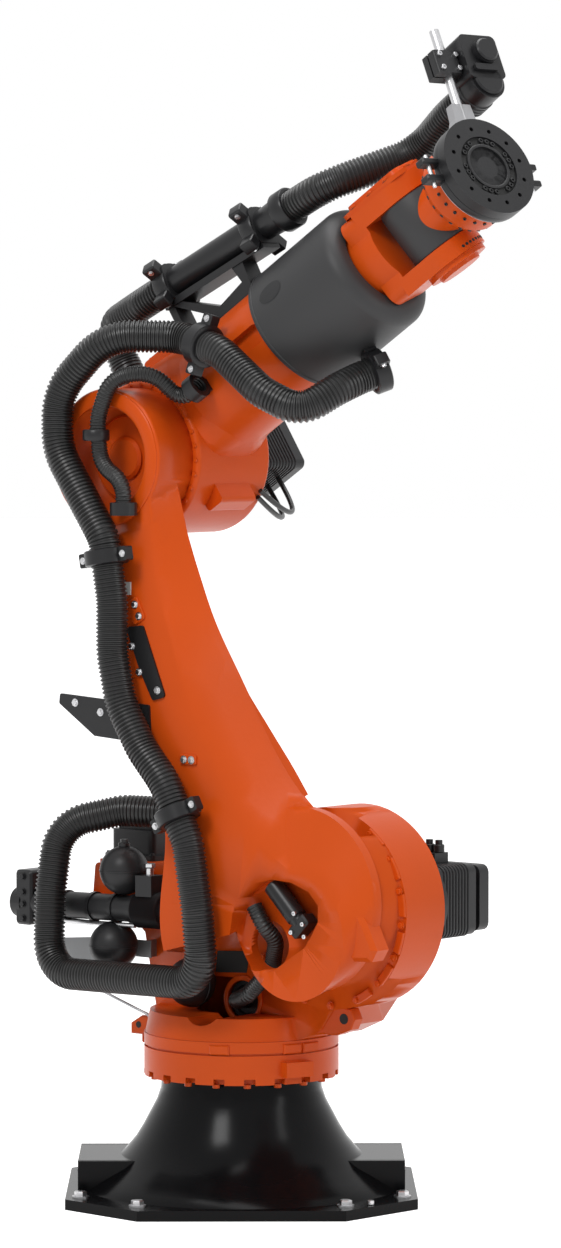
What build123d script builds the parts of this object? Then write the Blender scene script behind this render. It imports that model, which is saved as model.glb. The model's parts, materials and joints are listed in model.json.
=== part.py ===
from build123d import *
import math
import os

os.makedirs("parts", exist_ok=True)

# Heavy-payload six-axis arm.  Lengths in mm, +Z up, the foot rests on z = 0 around the axis of joint 1.

# Chain of the joints
arm_yaw = 40.0            # the arm's forward direction, turned from +X towards -Y
shoulder_reach = 400.0    # axis 1 to axis 2
shoulder_height = 835.0
link_length = 1300.0      # axis 2 to axis 3
link_lean = 28.8          # backward from upright
fore_rise = 32.9          # forearm above the level
wrist_offset = 55.0       # axis 4 above axis 3
fore_length = 1050.0      # axis 3 to axis 5
flange_reach = 290.0      # axis 5 to the flange face
wrist_roll = 17.5         # axis 5, turned from the forearm's upper side to the near side
hand_bend = 12.3

# Clearances
seat_gap = 0.3            # between pieces that are screwed together
turn_gap = 0.5            # between faces that turn past each other
free_gap = 6.0            # between pieces that pass each other

# Foot
foot_width = 930.0
foot_corner = 193.0
foot_plate = 28.0
plate_overlap = 6.0
foot_hole = 27.0
foot_front_x = 272.0
foot_front_y = 385.0
foot_side_x = 425.0
foot_side_y = 235.0
flare_radius = 338.0
flare_wall = 22.0
neck_radius = 214.0
neck_low = 205.0
pocket_width = 165.0
pocket_depth = 300.0
pocket_height = 84.0
pocket_wall = 14.0
pocket_x = 352.0

# Turntable ring
ring_radius = 261.0
ring_bore = 120.0
ring_low = 326.0
ring_top = 440.0
ring_groove_level = 404.0
ring_groove = 6.0
ring_teeth = 20
tooth_gap = 30.0
tooth_height = 16.0
tooth_reach = 24.0

neck_top = ring_low - turn_gap

# Column
column_near = 62.0
column_far = 205.0
column_foot_radius = 258.0
column_skirt = 60.0
housing_radius = 265.0
housing_drop = 30.0
housing_near = 130.0
housing_far = 60.0
bearing_radius = 240.0
bearing_core = 122.0
bearing_start = -112.0    # the full ring covers this sector, clear of the rod's eye and the thin hose
bearing_end = 46.0
motor2_size = 190.0
motor2_drop = 40.0
motor2_end = 412.0
motor1_size = 150.0
motor1_reach = 365.0
motor1_top = 985.0
motor1_shift = 45.0
rear_deck = 880.0
rear_deck_reach = 450.0

# Link arm
link_near = 290.0
link_far = 112.0
hub2_radius = 243.0
hub2_face = 206.0
bearing_face = hub2_face - turn_gap
hub3_radius = 186.0
hub3_face = 150.0
hub3_dish = 138.0
link_wall = 26.0
boss_radius = 168.0
boss_u = 415.0
boss_v = 745.0

# Balancer
balancer_w = 168.0
balancer_pivot_u = -420.0
balancer_pivot_v = 762.0
lug_radius = 230.0        # the rod's eye from axis 2
lug_angle = 195.9
lug_pin = 16.0
exit_u = 300.0            # thin hose through the lower hub
exit_v = 722.0
barrel_radius = 36.0
barrel_rear = 222.0       # behind its trunnion
barrel_front = 205.0
barrel_wall = 6.0
gaiter_length = 92.0
gaiter_radius = 42.0
trunnion_radius = 14.0
rod_radius = 15.0
rod_inside = 212.0        # behind the trunnion at rest
eye_radius = 29.0
pin_play = 0.5
accumulator_radius = 66.0
accumulator_neck = 8.0

# Forearm
housing3_radius = 205.0
housing3_near = hub3_face
housing3_far = 150.0
tube_radius = 160.0
tube_straight = 240.0
tube_front = 800.0
tube_bore = 118.0
cover_radius = 178.0
cover_rear = 548.0
cover_front = 872.0
cover_wall = 6.0
cover_mouth = 124.0
motor3_size = 170.0
motor3_end = 430.0
rear_motor_size = 92.0
rear_motor_length = 120.0

# Wrist
roll_radius = 112.0
cheek_radius = 92.0
cheek_inner = 80.0
cheek_outer = 128.0
root_front = 100.0        # behind axis 5
hand_radius = 86.0
neck_reach = 147.0        # where the hand widens, ahead of axis 5
hand_neck = 72.0
nose_radius = 118.0
nose_front = 230.0
carrier_thick = 26.0
flange_radius = 138.0
flange_thick = 30.0
flange_pcd = 216.0
flange_hole = 12.0
flange_holes = 12

# Hoses
hose_radius = 43.0
hose_bore = 35.0
thin_radius = 22.0
thin_bore = 16.0
conduit_radius = 41.0
conduit_wall = 3.0
clamp_wall = 14.0
clamp_width = 34.0
hose_w = 349.0            # the main hose passes on the near side of the link arm
conduit_x0 = 253.0
conduit_y0 = 371.0
conduit_x1 = 640.0
conduit_y1 = 323.0
conduit_w = 62.0

rad = math.pi / 180.0
FWD = Vector(math.cos(arm_yaw * rad), -math.sin(arm_yaw * rad), 0)
NEAR = Vector(-math.sin(arm_yaw * rad), -math.cos(arm_yaw * rad), 0)
UP = Vector(0, 0, 1)


def polar(radius, degrees):
    """Point in a sketch at a radius and an angle."""
    return (radius * math.cos(degrees * rad), radius * math.sin(degrees * rad))


def place(u, v, w):
    """Point of the arm's own frame: forward, up, towards the near side."""
    return FWD * u + UP * v + NEAR * w


def side(w, u=0.0, v=0.0, turn=0.0):
    """Plane parallel to the arm, facing the near side, its x axis raised by turn."""
    x_dir = FWD * math.cos(turn * rad) + UP * math.sin(turn * rad)
    return Plane(origin=place(u, v, w), x_dir=x_dir, z_dir=NEAR)


elbow_u = shoulder_reach - link_length * math.sin(link_lean * rad)
elbow_v = shoulder_height + link_length * math.cos(link_lean * rad)
ALONG = FWD * math.cos(fore_rise * rad) + UP * math.sin(fore_rise * rad)
ACROSS = UP * math.cos(fore_rise * rad) - FWD * math.sin(fore_rise * rad)
ELBOW = place(elbow_u, elbow_v, 0)


def fore(x, y, w=0.0):
    """Point of the forearm's frame: along it from axis 3, above axis 3, to the near side."""
    return ELBOW + ALONG * x + ACROSS * y + NEAR * w


def fore_side(w, x=0.0, y=0.0):
    """Plane parallel to the forearm, facing the near side."""
    return Plane(origin=fore(x, y, w), x_dir=ALONG, z_dir=NEAR)


def fore_section(x, y=wrist_offset, w=0.0):
    """Plane square to the forearm, facing its front, its x axis to the near side."""
    return Plane(origin=fore(x, y, w), x_dir=NEAR, z_dir=ALONG)


WRIST = fore(fore_length, wrist_offset)
TILT = ACROSS * math.cos(wrist_roll * rad) + NEAR * math.sin(wrist_roll * rad)
BEND = NEAR * math.cos(wrist_roll * rad) - ACROSS * math.sin(wrist_roll * rad)
NOSE = ALONG * math.cos(hand_bend * rad) + BEND * math.sin(hand_bend * rad)
NOSE_SIDE = BEND * math.cos(hand_bend * rad) - ALONG * math.sin(hand_bend * rad)


def wrist_section(x):
    """Plane square to the forearm at the wrist, its x axis along axis 5."""
    return Plane(origin=WRIST + ALONG * x, x_dir=TILT, z_dir=ALONG)


def hand_section(x):
    """Plane square to the flange's axis, its x axis along axis 5."""
    return Plane(origin=WRIST + NOSE * x, x_dir=TILT, z_dir=NOSE)


# Foot: chamfered plate, flared neck and a fork pocket on each side
with BuildPart() as base_frame:
    with BuildSketch(Plane.XY):
        Rectangle(foot_width, foot_width)
        chamfer(vertices(), foot_corner)
    extrude(amount=foot_plate)
    with BuildSketch(Plane.XZ):
        with BuildLine():
            Line((neck_radius, neck_top), (neck_radius, neck_low))
            outer = Spline(
                (neck_radius, neck_low),
                (flare_radius, foot_plate),
                tangents=((0, -1), (1, -0.55)),
            )
            Line((flare_radius, foot_plate), (flare_radius - flare_wall, foot_plate - plate_overlap))
            Spline(
                (flare_radius - flare_wall, foot_plate - plate_overlap),
                (neck_radius - flare_wall, neck_low),
                tangents=((-1, 0.55), (0, 1)),
            )
            Polyline(
                (neck_radius - flare_wall, neck_low),
                (neck_radius - flare_wall, neck_top),
                (neck_radius, neck_top),
            )
        make_face()
    revolve(axis=Axis.Z)
    with BuildSketch(Plane.XY):
        with Locations((pocket_x, 0), (-pocket_x, 0)):
            Rectangle(pocket_width, pocket_depth)
        Circle(flare_radius - 2 * flare_wall, mode=Mode.SUBTRACT)
    extrude(amount=foot_plate + pocket_height)
    with BuildSketch(Plane.XY.offset(foot_plate)):
        with Locations((pocket_x, 0), (-pocket_x, 0)):
            Rectangle(pocket_width - 2 * pocket_wall, pocket_depth)
    extrude(amount=pocket_height - pocket_wall, mode=Mode.SUBTRACT)
    with BuildSketch(Plane.XY):
        with Locations(
            (foot_front_x, foot_front_y), (foot_front_x, -foot_front_y),
            (-foot_front_x, foot_front_y), (-foot_front_x, -foot_front_y),
            (foot_side_x, foot_side_y), (foot_side_x, -foot_side_y),
            (-foot_side_x, foot_side_y), (-foot_side_x, -foot_side_y),
        ):
            Circle(foot_hole / 2)
    extrude(amount=foot_plate, mode=Mode.SUBTRACT)
base_frame.part.label = "base_frame"
export_step(base_frame.part, "parts/base_frame.step")

# Turntable ring with a toothed lower edge
with BuildPart() as turntable_ring:
    with BuildSketch(Plane.XY.offset(ring_low)):
        Circle(ring_radius)
        Circle(ring_bore, mode=Mode.SUBTRACT)
    extrude(amount=ring_top - ring_low)
    with BuildSketch(Plane.XY.offset(ring_groove_level)):
        Circle(ring_radius + ring_groove)
        Circle(ring_radius - ring_groove, mode=Mode.SUBTRACT)
    extrude(amount=ring_groove, mode=Mode.SUBTRACT)
    with BuildSketch(Plane.XY.offset(ring_low)):
        with PolarLocations(ring_radius - tooth_reach / 2, ring_teeth, start_angle=4.8):
            Rectangle(tooth_reach + 2, tooth_gap)
    extrude(amount=tooth_height, mode=Mode.SUBTRACT)
    stop_plane = Plane.XY.offset(ring_low + tooth_height + 4).rotated((0, 0, -57))
    with BuildSketch(stop_plane):
        with Locations((ring_radius + 6, 0)):
            Rectangle(36, 84)
    extrude(amount=40)
turntable_ring.part.label = "turntable_ring"
export_step(turntable_ring.part, "parts/turntable_ring.step")

# Column: body that carries the shoulder, the deck at the rear and the near cable opening
column_low = ring_top + seat_gap
with BuildPart() as rotating_column:
    with BuildSketch(side(-column_far)):
        with BuildLine():
            Polyline(
                (-column_foot_radius + 20, column_low),
                (column_foot_radius - 10, column_low),
                (column_foot_radius + 62, column_low + 32),
                (shoulder_reach + 110, column_low + 78),
                (shoulder_reach + 195, shoulder_height - 235),
                (shoulder_reach + 215, shoulder_height - 60),
                (shoulder_reach + 190, shoulder_height + 130),
                (shoulder_reach + 70, shoulder_height + 235),
                (shoulder_reach - 120, shoulder_height + 222),
                (shoulder_reach - 330, rear_deck),
                (-rear_deck_reach, rear_deck),
                (-rear_deck_reach, rear_deck - 46),
                (-column_foot_radius - 30, rear_deck - 190),
                (-column_foot_radius + 20, column_low),
            )
        make_face()
    extrude(amount=column_far + column_near)
    with BuildSketch(Plane.XY.offset(column_low)):
        Circle(column_foot_radius)
    extrude(amount=column_skirt, taper=12)
    with BuildSketch(side(-housing_far, shoulder_reach, shoulder_height - housing_drop)):
        Circle(housing_radius)
    extrude(amount=housing_far + housing_near)
    with BuildSketch(side(housing_near, shoulder_reach, shoulder_height)):
        Circle(bearing_radius)
        with BuildLine():
            Polyline(
                (0, 0),
                polar(2 * bearing_radius, bearing_end),
                polar(2 * bearing_radius, (bearing_start + bearing_end) / 2 + 180),
                polar(2 * bearing_radius, bearing_start),
                (0, 0),
            )
        make_face(mode=Mode.SUBTRACT)
        Circle(bearing_core)
    extrude(amount=bearing_face - housing_near)
    # Cable bore through the foot, and the near opening that leads into it
    with BuildSketch(Plane.XY.offset(column_low)):
        Circle(ring_bore)
    extrude(amount=150, mode=Mode.SUBTRACT)
    with BuildSketch(side(column_near + 200, 60, column_low + 92)):
        Circle(52)
    extrude(amount=-290, mode=Mode.SUBTRACT)
    # Hollow between the cheeks, open to the rear
    with BuildSketch(side(-column_far + 45)):
        with BuildLine():
            Polyline(
                (-column_foot_radius - 60, column_low + 190),
                (120, column_low + 190),
                (150, column_low + 250),
                (90, rear_deck - 40),
                (-rear_deck_reach - 10, rear_deck - 40),
                (-rear_deck_reach - 10, column_low + 190),
                (-column_foot_radius - 60, column_low + 190),
            )
        make_face()
    extrude(amount=column_far + column_near - 90, mode=Mode.SUBTRACT)
rotating_column.part.label = "rotating_column"
export_step(rotating_column.part, "parts/rotating_column.step")

# Motor of joint 1 on the rear deck, upright
with BuildPart() as motor_1:
    with BuildSketch(Plane(origin=place(-motor1_reach, rear_deck + seat_gap, -motor1_shift), x_dir=FWD, z_dir=UP)):
        RectangleRounded(motor1_size, motor1_size, 18)
    extrude(amount=motor1_top - rear_deck - 24)
    with BuildSketch(Plane(origin=place(-motor1_reach, motor1_top - 24, -motor1_shift), x_dir=FWD, z_dir=UP)):
        RectangleRounded(motor1_size - 24, motor1_size - 24, 14)
    extrude(amount=24)
    with BuildSketch(Plane(origin=place(-motor1_reach, rear_deck + seat_gap, -motor1_shift), x_dir=FWD, z_dir=UP)):
        RectangleRounded(motor1_size + 28, motor1_size + 28, 12)
    extrude(amount=14)
motor_1.part.label = "motor_1"
export_step(motor_1.part, "parts/motor_1.step")

# Motor of joint 2, lying across on the far side of the shoulder
motor2_start = column_far + seat_gap
with BuildPart() as motor_2:
    motor2_v = shoulder_height - motor2_drop
    with BuildSketch(side(-motor2_end, shoulder_reach, motor2_v)):
        RectangleRounded(motor2_size - 40, motor2_size - 40, 16)
    extrude(amount=26)
    with BuildSketch(side(-motor2_end + 26, shoulder_reach, motor2_v)):
        RectangleRounded(motor2_size, motor2_size, 22)
    extrude(amount=motor2_end - motor2_start - 26 - 18)
    with BuildSketch(side(-motor2_start, shoulder_reach, motor2_v)):
        Circle(motor2_size * 0.5 + 32)
    extrude(amount=-18)
    with BuildSketch(side(-motor2_end + 60, shoulder_reach, motor2_v + motor2_size / 2)):
        Rectangle(54, 60)
    extrude(amount=58)
motor_2.part.label = "motor_2"
export_step(motor_2.part, "parts/motor_2.step")

# Link arm
lug_u = shoulder_reach + lug_radius * math.cos(lug_angle * rad)
lug_v = shoulder_height + lug_radius * math.sin(lug_angle * rad)


def link_side(w, x=0.0, y=0.0):
    """Plane on the link arm facing the near side, x towards axis 3, y to its rear."""
    along = UP * math.cos(link_lean * rad) - FWD * math.sin(link_lean * rad)
    rear = -UP * math.sin(link_lean * rad) - FWD * math.cos(link_lean * rad)
    origin = place(shoulder_reach, shoulder_height, w) + along * x + rear * y
    return Plane(origin=origin, x_dir=along, z_dir=NEAR)


L = link_length
far_front = [
    (200, -150), (300, -100), (606, -72), (786, -66), (L - 380, -78), (L - 286, -92), (L - 190, -112),
]
far_rear = [(L - 190, 120), (L - 346, 150), (L - 443, 185), (706, 215), (578, 222), (300, 205), (200, 190)]
mid_front = [
    (-40, -238), (100, -180), (184, -140), (294, -104), (606, -76), (786, -68),
    (L - 380, -80), (L - 286, -92), (L - 200, -112), (L - 40, -130),
]
mid_rear = [
    (L - 40, 130), (L - 257, 116), (L - 346, 160), (L - 443, 204), (706, 258),
    (578, 270), (435, 276), (342, 304), (191, 405), (60, 462),
]
near_front = [
    (-79, -126), (36, -66), (102, -24), (190, 18), (284, 46), (437, 56), (643, 54), (795, 30),
    (L - 367, 4), (L - 268, -30), (L - 190, -72), (L - 40, -108),
]
near_rear = [
    (L - 40, 108), (L - 257, 94), (L - 346, 148), (L - 443, 192), (706, 247),
    (578, 258), (435, 262), (342, 290), (191, 392), (66, 448),
]
with BuildPart() as link_arm:
    with BuildSketch(link_side(link_far)):
        with BuildLine():
            Spline(*far_front)
            Line(far_front[-1], far_rear[0])
            Spline(*far_rear)
            Line(far_rear[-1], far_front[0])
        make_face()
    extrude(amount=hub2_face - link_far)
    with BuildSketch(link_side(hub2_face)):
        with BuildLine():
            Spline(*mid_front)
            Line(mid_front[-1], mid_rear[0])
            Spline(*mid_rear)
            Line(mid_rear[-1], mid_front[0])
        make_face()
    with BuildSketch(link_side(link_near)):
        with BuildLine():
            Spline(*near_front)
            Line(near_front[-1], near_rear[0])
            Spline(*near_rear)
            Line(near_rear[-1], near_front[0])
        make_face()
    loft()
    # Lower hub and its near boss
    with BuildSketch(link_side(hub2_face)):
        Circle(hub2_radius)
    extrude(amount=30)
    with BuildSketch(link_side(hub2_face + 30)):
        Circle(hub2_radius)
    with BuildSketch(side(link_near, boss_u, boss_v)):
        Circle(boss_radius)
    loft()
    # Clear of the shoulder housing and of the forearm beside the upper hub
    with BuildSketch(link_side(hub2_face)):
        Circle(housing_radius + housing_drop + free_gap)
    extrude(amount=-(hub2_face - link_far) - 1, mode=Mode.SUBTRACT)
    with BuildSketch(link_side(hub2_face - 6, L)):
        Circle(420)
    extrude(amount=-120, mode=Mode.SUBTRACT)
    # Upper hub with its hollow near side
    with BuildSketch(link_side(hub3_face + turn_gap, L)):
        Circle(hub3_radius)
    extrude(amount=link_near - hub3_face - turn_gap)
    fillet(edges().filter_by(GeomType.CIRCLE).sort_by(SortBy.RADIUS).filter_by(
        lambda e: abs(e.radius - hub3_radius) < 0.01
    ).sort_by(Axis(origin=(0, 0, 0), direction=NEAR))[-1:], 8)
    with BuildSketch(link_side(link_near, L)):
        Circle(hub3_dish)
    extrude(amount=-link_near + hub3_face + link_wall + 20, mode=Mode.SUBTRACT)
    # Hollow of the lower hub that the cables pass through
    with BuildSketch(side(link_near, 0, 0)):
        with BuildLine():
            Polyline(
                (shoulder_reach - 205, shoulder_height - 135),
                (shoulder_reach - 178, shoulder_height - 6),
                (shoulder_reach - 77, shoulder_height + 40),
                (shoulder_reach + 105, shoulder_height - 14),
                (shoulder_reach + 60, shoulder_height - 112),
                (shoulder_reach - 60, shoulder_height - 190),
                (shoulder_reach - 205, shoulder_height - 135),
            )
        make_face()
        fillet(vertices(), 30)
    extrude(amount=-link_near + hub2_face + link_wall, mode=Mode.SUBTRACT)
    # Exit of the thin hose through the hub's floor
    with BuildSketch(side(link_near, exit_u - 8, exit_v - 11)):
        Circle(thin_radius + 42)
    extrude(amount=-(link_near - hub2_face + 10), mode=Mode.SUBTRACT)
link_arm.part.label = "link_arm"
export_step(link_arm.part, "parts/link_arm.step")

# Balancer: cradle on the column, swinging barrel, sliding rod, gas spheres
with BuildPart() as balancer_cradle:
    with BuildSketch(side(column_near + seat_gap)):
        with BuildLine():
            Polyline(
                (balancer_pivot_u - 34, balancer_pivot_v - 30),
                (balancer_pivot_u + 34, balancer_pivot_v - 40),
                (balancer_pivot_u + 170, balancer_pivot_v - 20),
                (balancer_pivot_u + 170, balancer_pivot_v + 96),
                (balancer_pivot_u - 20, balancer_pivot_v + 112),
                (balancer_pivot_u - 34, balancer_pivot_v - 30),
            )
        make_face()
        fillet(vertices(), 14)
    extrude(amount=30)
    with BuildSketch(side(column_near + seat_gap + 30, balancer_pivot_u, balancer_pivot_v)):
        Circle(30)
    extrude(amount=balancer_w - barrel_radius - free_gap - column_near - 30)
    with BuildSketch(side(column_near, balancer_pivot_u, balancer_pivot_v)):
        Circle(trunnion_radius + pin_play)
    extrude(amount=100, mode=Mode.SUBTRACT)
balancer_cradle.part.label = "balancer_cradle"
export_step(balancer_cradle.part, "parts/balancer_cradle.step")

rod_turn = math.degrees(math.atan2(lug_v - balancer_pivot_v, lug_u - balancer_pivot_u))
rod_rest = math.hypot(lug_v - balancer_pivot_v, lug_u - balancer_pivot_u)
ROD_DIR = FWD * math.cos(rod_turn * rad) + UP * math.sin(rod_turn * rad)
PIVOT = place(balancer_pivot_u, balancer_pivot_v, balancer_w)


def rod_section(x):
    """Plane square to the balancer, x mm ahead of its trunnion."""
    return Plane(origin=PIVOT + ROD_DIR * x, x_dir=NEAR, z_dir=ROD_DIR)


with BuildPart() as balancer_barrel:
    with BuildSketch(rod_section(-barrel_rear)):
        Circle(barrel_radius)
    extrude(amount=barrel_rear + barrel_front)
    with BuildSketch(rod_section(-barrel_rear - 8)):
        Circle(barrel_radius + 5)
    extrude(amount=34)
    with BuildSketch(rod_section(barrel_front - 22)):
        Circle(barrel_radius + 4)
    extrude(amount=22)
    with BuildSketch(rod_section(barrel_front)):
        Circle(gaiter_radius)
        Circle(gaiter_radius - 5, mode=Mode.SUBTRACT)
    extrude(amount=gaiter_length)
    with BuildSketch(rod_section(-barrel_rear + 8)):
        Circle(barrel_radius - barrel_wall)
    extrude(amount=barrel_rear + barrel_front - 20, mode=Mode.SUBTRACT)
    with BuildSketch(rod_section(barrel_front - 30)):
        Circle(rod_radius + pin_play)
    extrude(amount=60, mode=Mode.SUBTRACT)
    with BuildSketch(side(balancer_w - barrel_radius + 1, balancer_pivot_u, balancer_pivot_v)):
        Circle(trunnion_radius)
    extrude(amount=-(balancer_w - barrel_radius + 1 - column_near - 12))
    # Valve block on the gaiter's collar
    with BuildSketch(rod_section(barrel_front + 16)):
        with Locations((8, -gaiter_radius - 24)):
            Rectangle(54, 56)
    extrude(amount=56)
balancer_barrel.part.label = "balancer_barrel"
export_step(balancer_barrel.part, "parts/balancer_barrel.step")

with BuildPart() as balancer_rod:
    with BuildSketch(rod_section(-rod_inside)):
        Circle(rod_radius)
    extrude(amount=rod_inside + rod_rest - 10)
    with BuildSketch(rod_section(-rod_inside)):
        Circle(barrel_radius - barrel_wall - pin_play)
    extrude(amount=16)
    with BuildSketch(side(balancer_w - 18, lug_u, lug_v)):
        Circle(eye_radius)
    extrude(amount=36)
    with BuildSketch(side(balancer_w - 30, lug_u, lug_v)):
        Circle(lug_pin + pin_play)
    extrude(amount=60, mode=Mode.SUBTRACT)
balancer_rod.part.label = "balancer_rod"
export_step(balancer_rod.part, "parts/balancer_rod.step")

sphere_seat = barrel_radius + seat_gap
with BuildPart() as accumulator_upper:
    with Locations(PIVOT + ROD_DIR * 150 + UP * (sphere_seat + accumulator_radius)):
        Sphere(accumulator_radius)
accumulator_upper.part.label = "accumulator_upper"
export_step(accumulator_upper.part, "parts/accumulator_upper.step")
with BuildPart() as accumulator_lower:
    with Locations(PIVOT + ROD_DIR * 112 - UP * (sphere_seat + accumulator_radius)):
        Sphere(accumulator_radius)
accumulator_lower.part.label = "accumulator_lower"
export_step(accumulator_lower.part, "parts/accumulator_lower.step")
with BuildPart() as accumulator_side:
    with Locations(place(-60, 578, column_near + seat_gap + accumulator_neck + accumulator_radius)):
        Sphere(accumulator_radius)
    with BuildSketch(side(column_near + seat_gap, -60, 578)):
        Circle(18)
    extrude(amount=accumulator_neck + accumulator_radius / 2)
accumulator_side.part.label = "accumulator_side"
export_step(accumulator_side.part, "parts/accumulator_side.step")

# Forearm: housing around axis 3 and the tube towards the wrist
with BuildPart() as forearm:
    with BuildSketch(fore_side(-housing3_far)):
        Circle(housing3_radius)
    extrude(amount=housing3_far + housing3_near)
    fillet(edges().filter_by(GeomType.CIRCLE), 14)
    with BuildSketch(fore_section(-150)):
        RectangleRounded(270, 280, 60)
    extrude(amount=150)
    with BuildSketch(fore_section(40)):
        RectangleRounded(2 * housing3_near - 14, 2 * tube_radius + 30, 100)
    with BuildSketch(fore_section(hub3_radius + 2 * free_gap)):
        RectangleRounded(2 * housing3_near - 14, 2 * tube_radius, 100)
    with BuildSketch(fore_section(tube_straight + 20)):
        Circle(tube_radius - 3)
    loft(ruled=True)
    with BuildSketch(fore_section(tube_straight)):
        Circle(tube_radius)
    extrude(amount=tube_front - tube_straight)
    # Ledge on top and block below the housing
    with BuildSketch(fore_side(-70)):
        with Locations((150, 212)):
            RectangleRounded(130, 60, 14)
        with Locations((96, -180)):
            RectangleRounded(60, 68, 12)
    extrude(amount=140)
    # Bore for the wrist's shafts
    with BuildSketch(fore_section(tube_front)):
        Circle(tube_bore)
    extrude(amount=-560, mode=Mode.SUBTRACT)
    # Recessed window on the near side of the tube
    with BuildSketch(fore_side(tube_radius + 10, 470, wrist_offset)):
        SlotOverall(150, 56)
    extrude(amount=-34, mode=Mode.SUBTRACT)
forearm.part.label = "forearm"
export_step(forearm.part, "parts/forearm.step")

fore_axis = Axis(origin=fore(0, wrist_offset), direction=ALONG)
seat3 = tube_radius + seat_gap
with BuildPart() as forearm_cover:
    with BuildSketch(fore_side(0, 0, wrist_offset)):
        with BuildLine():
            Polyline(
                (cover_rear, seat3),
                (cover_rear, cover_radius),
                (cover_front, cover_radius),
                (cover_front, cover_mouth),
                (cover_front - cover_wall, cover_mouth),
                (cover_front - cover_wall, cover_radius - cover_wall),
                (cover_rear + cover_wall, cover_radius - cover_wall),
                (cover_rear + cover_wall, seat3),
                (cover_rear, seat3),
            )
        make_face()
        fillet(vertices().filter_by(lambda v: abs(v.Y - cover_radius) < 0.01 and v.X > cover_rear + 1), 42)
        fillet(vertices().filter_by(
            lambda v: abs(v.Y - cover_radius + cover_wall) < 0.01 and v.X > cover_rear + 20), 36)
    revolve(axis=fore_axis)
forearm_cover.part.label = "forearm_cover"
export_step(forearm_cover.part, "parts/forearm_cover.step")

with BuildPart() as motor_3:
    with BuildSketch(fore_side(-housing3_far - seat_gap)):
        Circle(motor3_size / 2 + 28)
    extrude(amount=-24)
    with BuildSketch(fore_side(-housing3_far - 24)):
        RectangleRounded(motor3_size, motor3_size, 20)
    extrude(amount=-(motor3_end - housing3_far - 24 - 22))
    with BuildSketch(fore_side(-motor3_end + 22)):
        RectangleRounded(motor3_size - 36, motor3_size - 36, 14)
    extrude(amount=-22)
    with BuildSketch(fore_side(-motor3_end + 60, 20, motor3_size / 2)):
        Rectangle(50, 52)
    extrude(amount=52)
motor_3.part.label = "motor_3"
export_step(motor_3.part, "parts/motor_3.step")

# Rear plate with the three wrist motors
rear_face = -housing3_radius - 4
with BuildPart() as wrist_motors:
    with BuildSketch(fore_section(rear_face - 14, wrist_offset, -30)):
        RectangleRounded(220, 250, 40)
    extrude(amount=housing3_radius + 4 + 14 - 150 - seat_gap)
    with BuildSketch(fore_section(rear_face - 14, wrist_offset, -30)):
        with PolarLocations(66, 3, start_angle=90):
            Circle(rear_motor_size / 2)
    extrude(amount=-rear_motor_length)
    with BuildSketch(fore_side(-housing3_far - 5)):
        Circle(housing3_radius + seat_gap)
    extrude(amount=housing3_far + housing3_near + 10, mode=Mode.SUBTRACT)
wrist_motors.part.label = "wrist_motors"
export_step(wrist_motors.part, "parts/wrist_motors.step")

# Wrist that rolls about axis 4: shaft, root block and two cheeks
with BuildPart() as wrist_fork:
    with BuildSketch(wrist_section(tube_front + turn_gap - fore_length)):
        Circle(roll_radius)
    extrude(amount=fore_length - tube_front - turn_gap - root_front)
    with BuildSketch(wrist_section(-(fore_length - cover_front) + free_gap)):
        RectangleRounded(2 * cheek_outer, 2 * cheek_radius, 34)
    extrude(amount=fore_length - cover_front - free_gap - root_front)
    for way in (1, -1):
        cheek = Plane(origin=WRIST + TILT * way * cheek_inner, x_dir=ALONG, z_dir=TILT * way)
        with BuildSketch(cheek):
            Circle(cheek_radius)
            with Locations((-root_front / 2 - 10, 0)):
                Rectangle(root_front + 20, 2 * cheek_radius)
        extrude(amount=cheek_outer - cheek_inner)
wrist_fork.part.label = "wrist_fork"
export_step(wrist_fork.part, "parts/wrist_fork.step")

cover_seat = Plane(origin=WRIST + TILT * (cheek_outer + seat_gap) - ALONG * 42, x_dir=ALONG, z_dir=TILT)
with BuildPart() as wrist_cover:
    with BuildSketch(cover_seat):
        RectangleRounded(232, 2 * cheek_radius - 12, 40)
    extrude(amount=12)
    with BuildSketch(cover_seat.offset(12)):
        RectangleRounded(196, 2 * cheek_radius - 50, 28)
    extrude(amount=14, taper=14)
wrist_cover.part.label = "wrist_cover"
export_step(wrist_cover.part, "parts/wrist_cover.step")

lower_seat = Plane(origin=WRIST - TILT * (cheek_outer + seat_gap), x_dir=ALONG, z_dir=-TILT)
with BuildPart() as wrist_cap:
    with BuildSketch(lower_seat):
        Circle(cheek_radius - 8)
    extrude(amount=14)
    with BuildSketch(lower_seat.offset(14)):
        Circle(cheek_radius - 30)
    extrude(amount=10, taper=20)
wrist_cap.part.label = "wrist_cap"
export_step(wrist_cap.part, "parts/wrist_cap.step")

# Hand that tilts about axis 5
with BuildPart() as hand:
    with BuildSketch(Plane(origin=WRIST - TILT * (cheek_inner - turn_gap), x_dir=NOSE, z_dir=TILT)):
        Circle(hand_radius)
    extrude(amount=2 * (cheek_inner - turn_gap))
    with BuildSketch(hand_section(0)):
        Circle(hand_neck)
    extrude(amount=neck_reach + 2)
    with BuildSketch(hand_section(neck_reach)):
        Circle(nose_radius - 10)
    with BuildSketch(hand_section(neck_reach + 18)):
        Circle(nose_radius)
    loft()
    with BuildSketch(hand_section(neck_reach + 18)):
        Circle(nose_radius)
    extrude(amount=nose_front - neck_reach - 18)
hand.part.label = "hand"
export_step(hand.part, "parts/hand.step")

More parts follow.
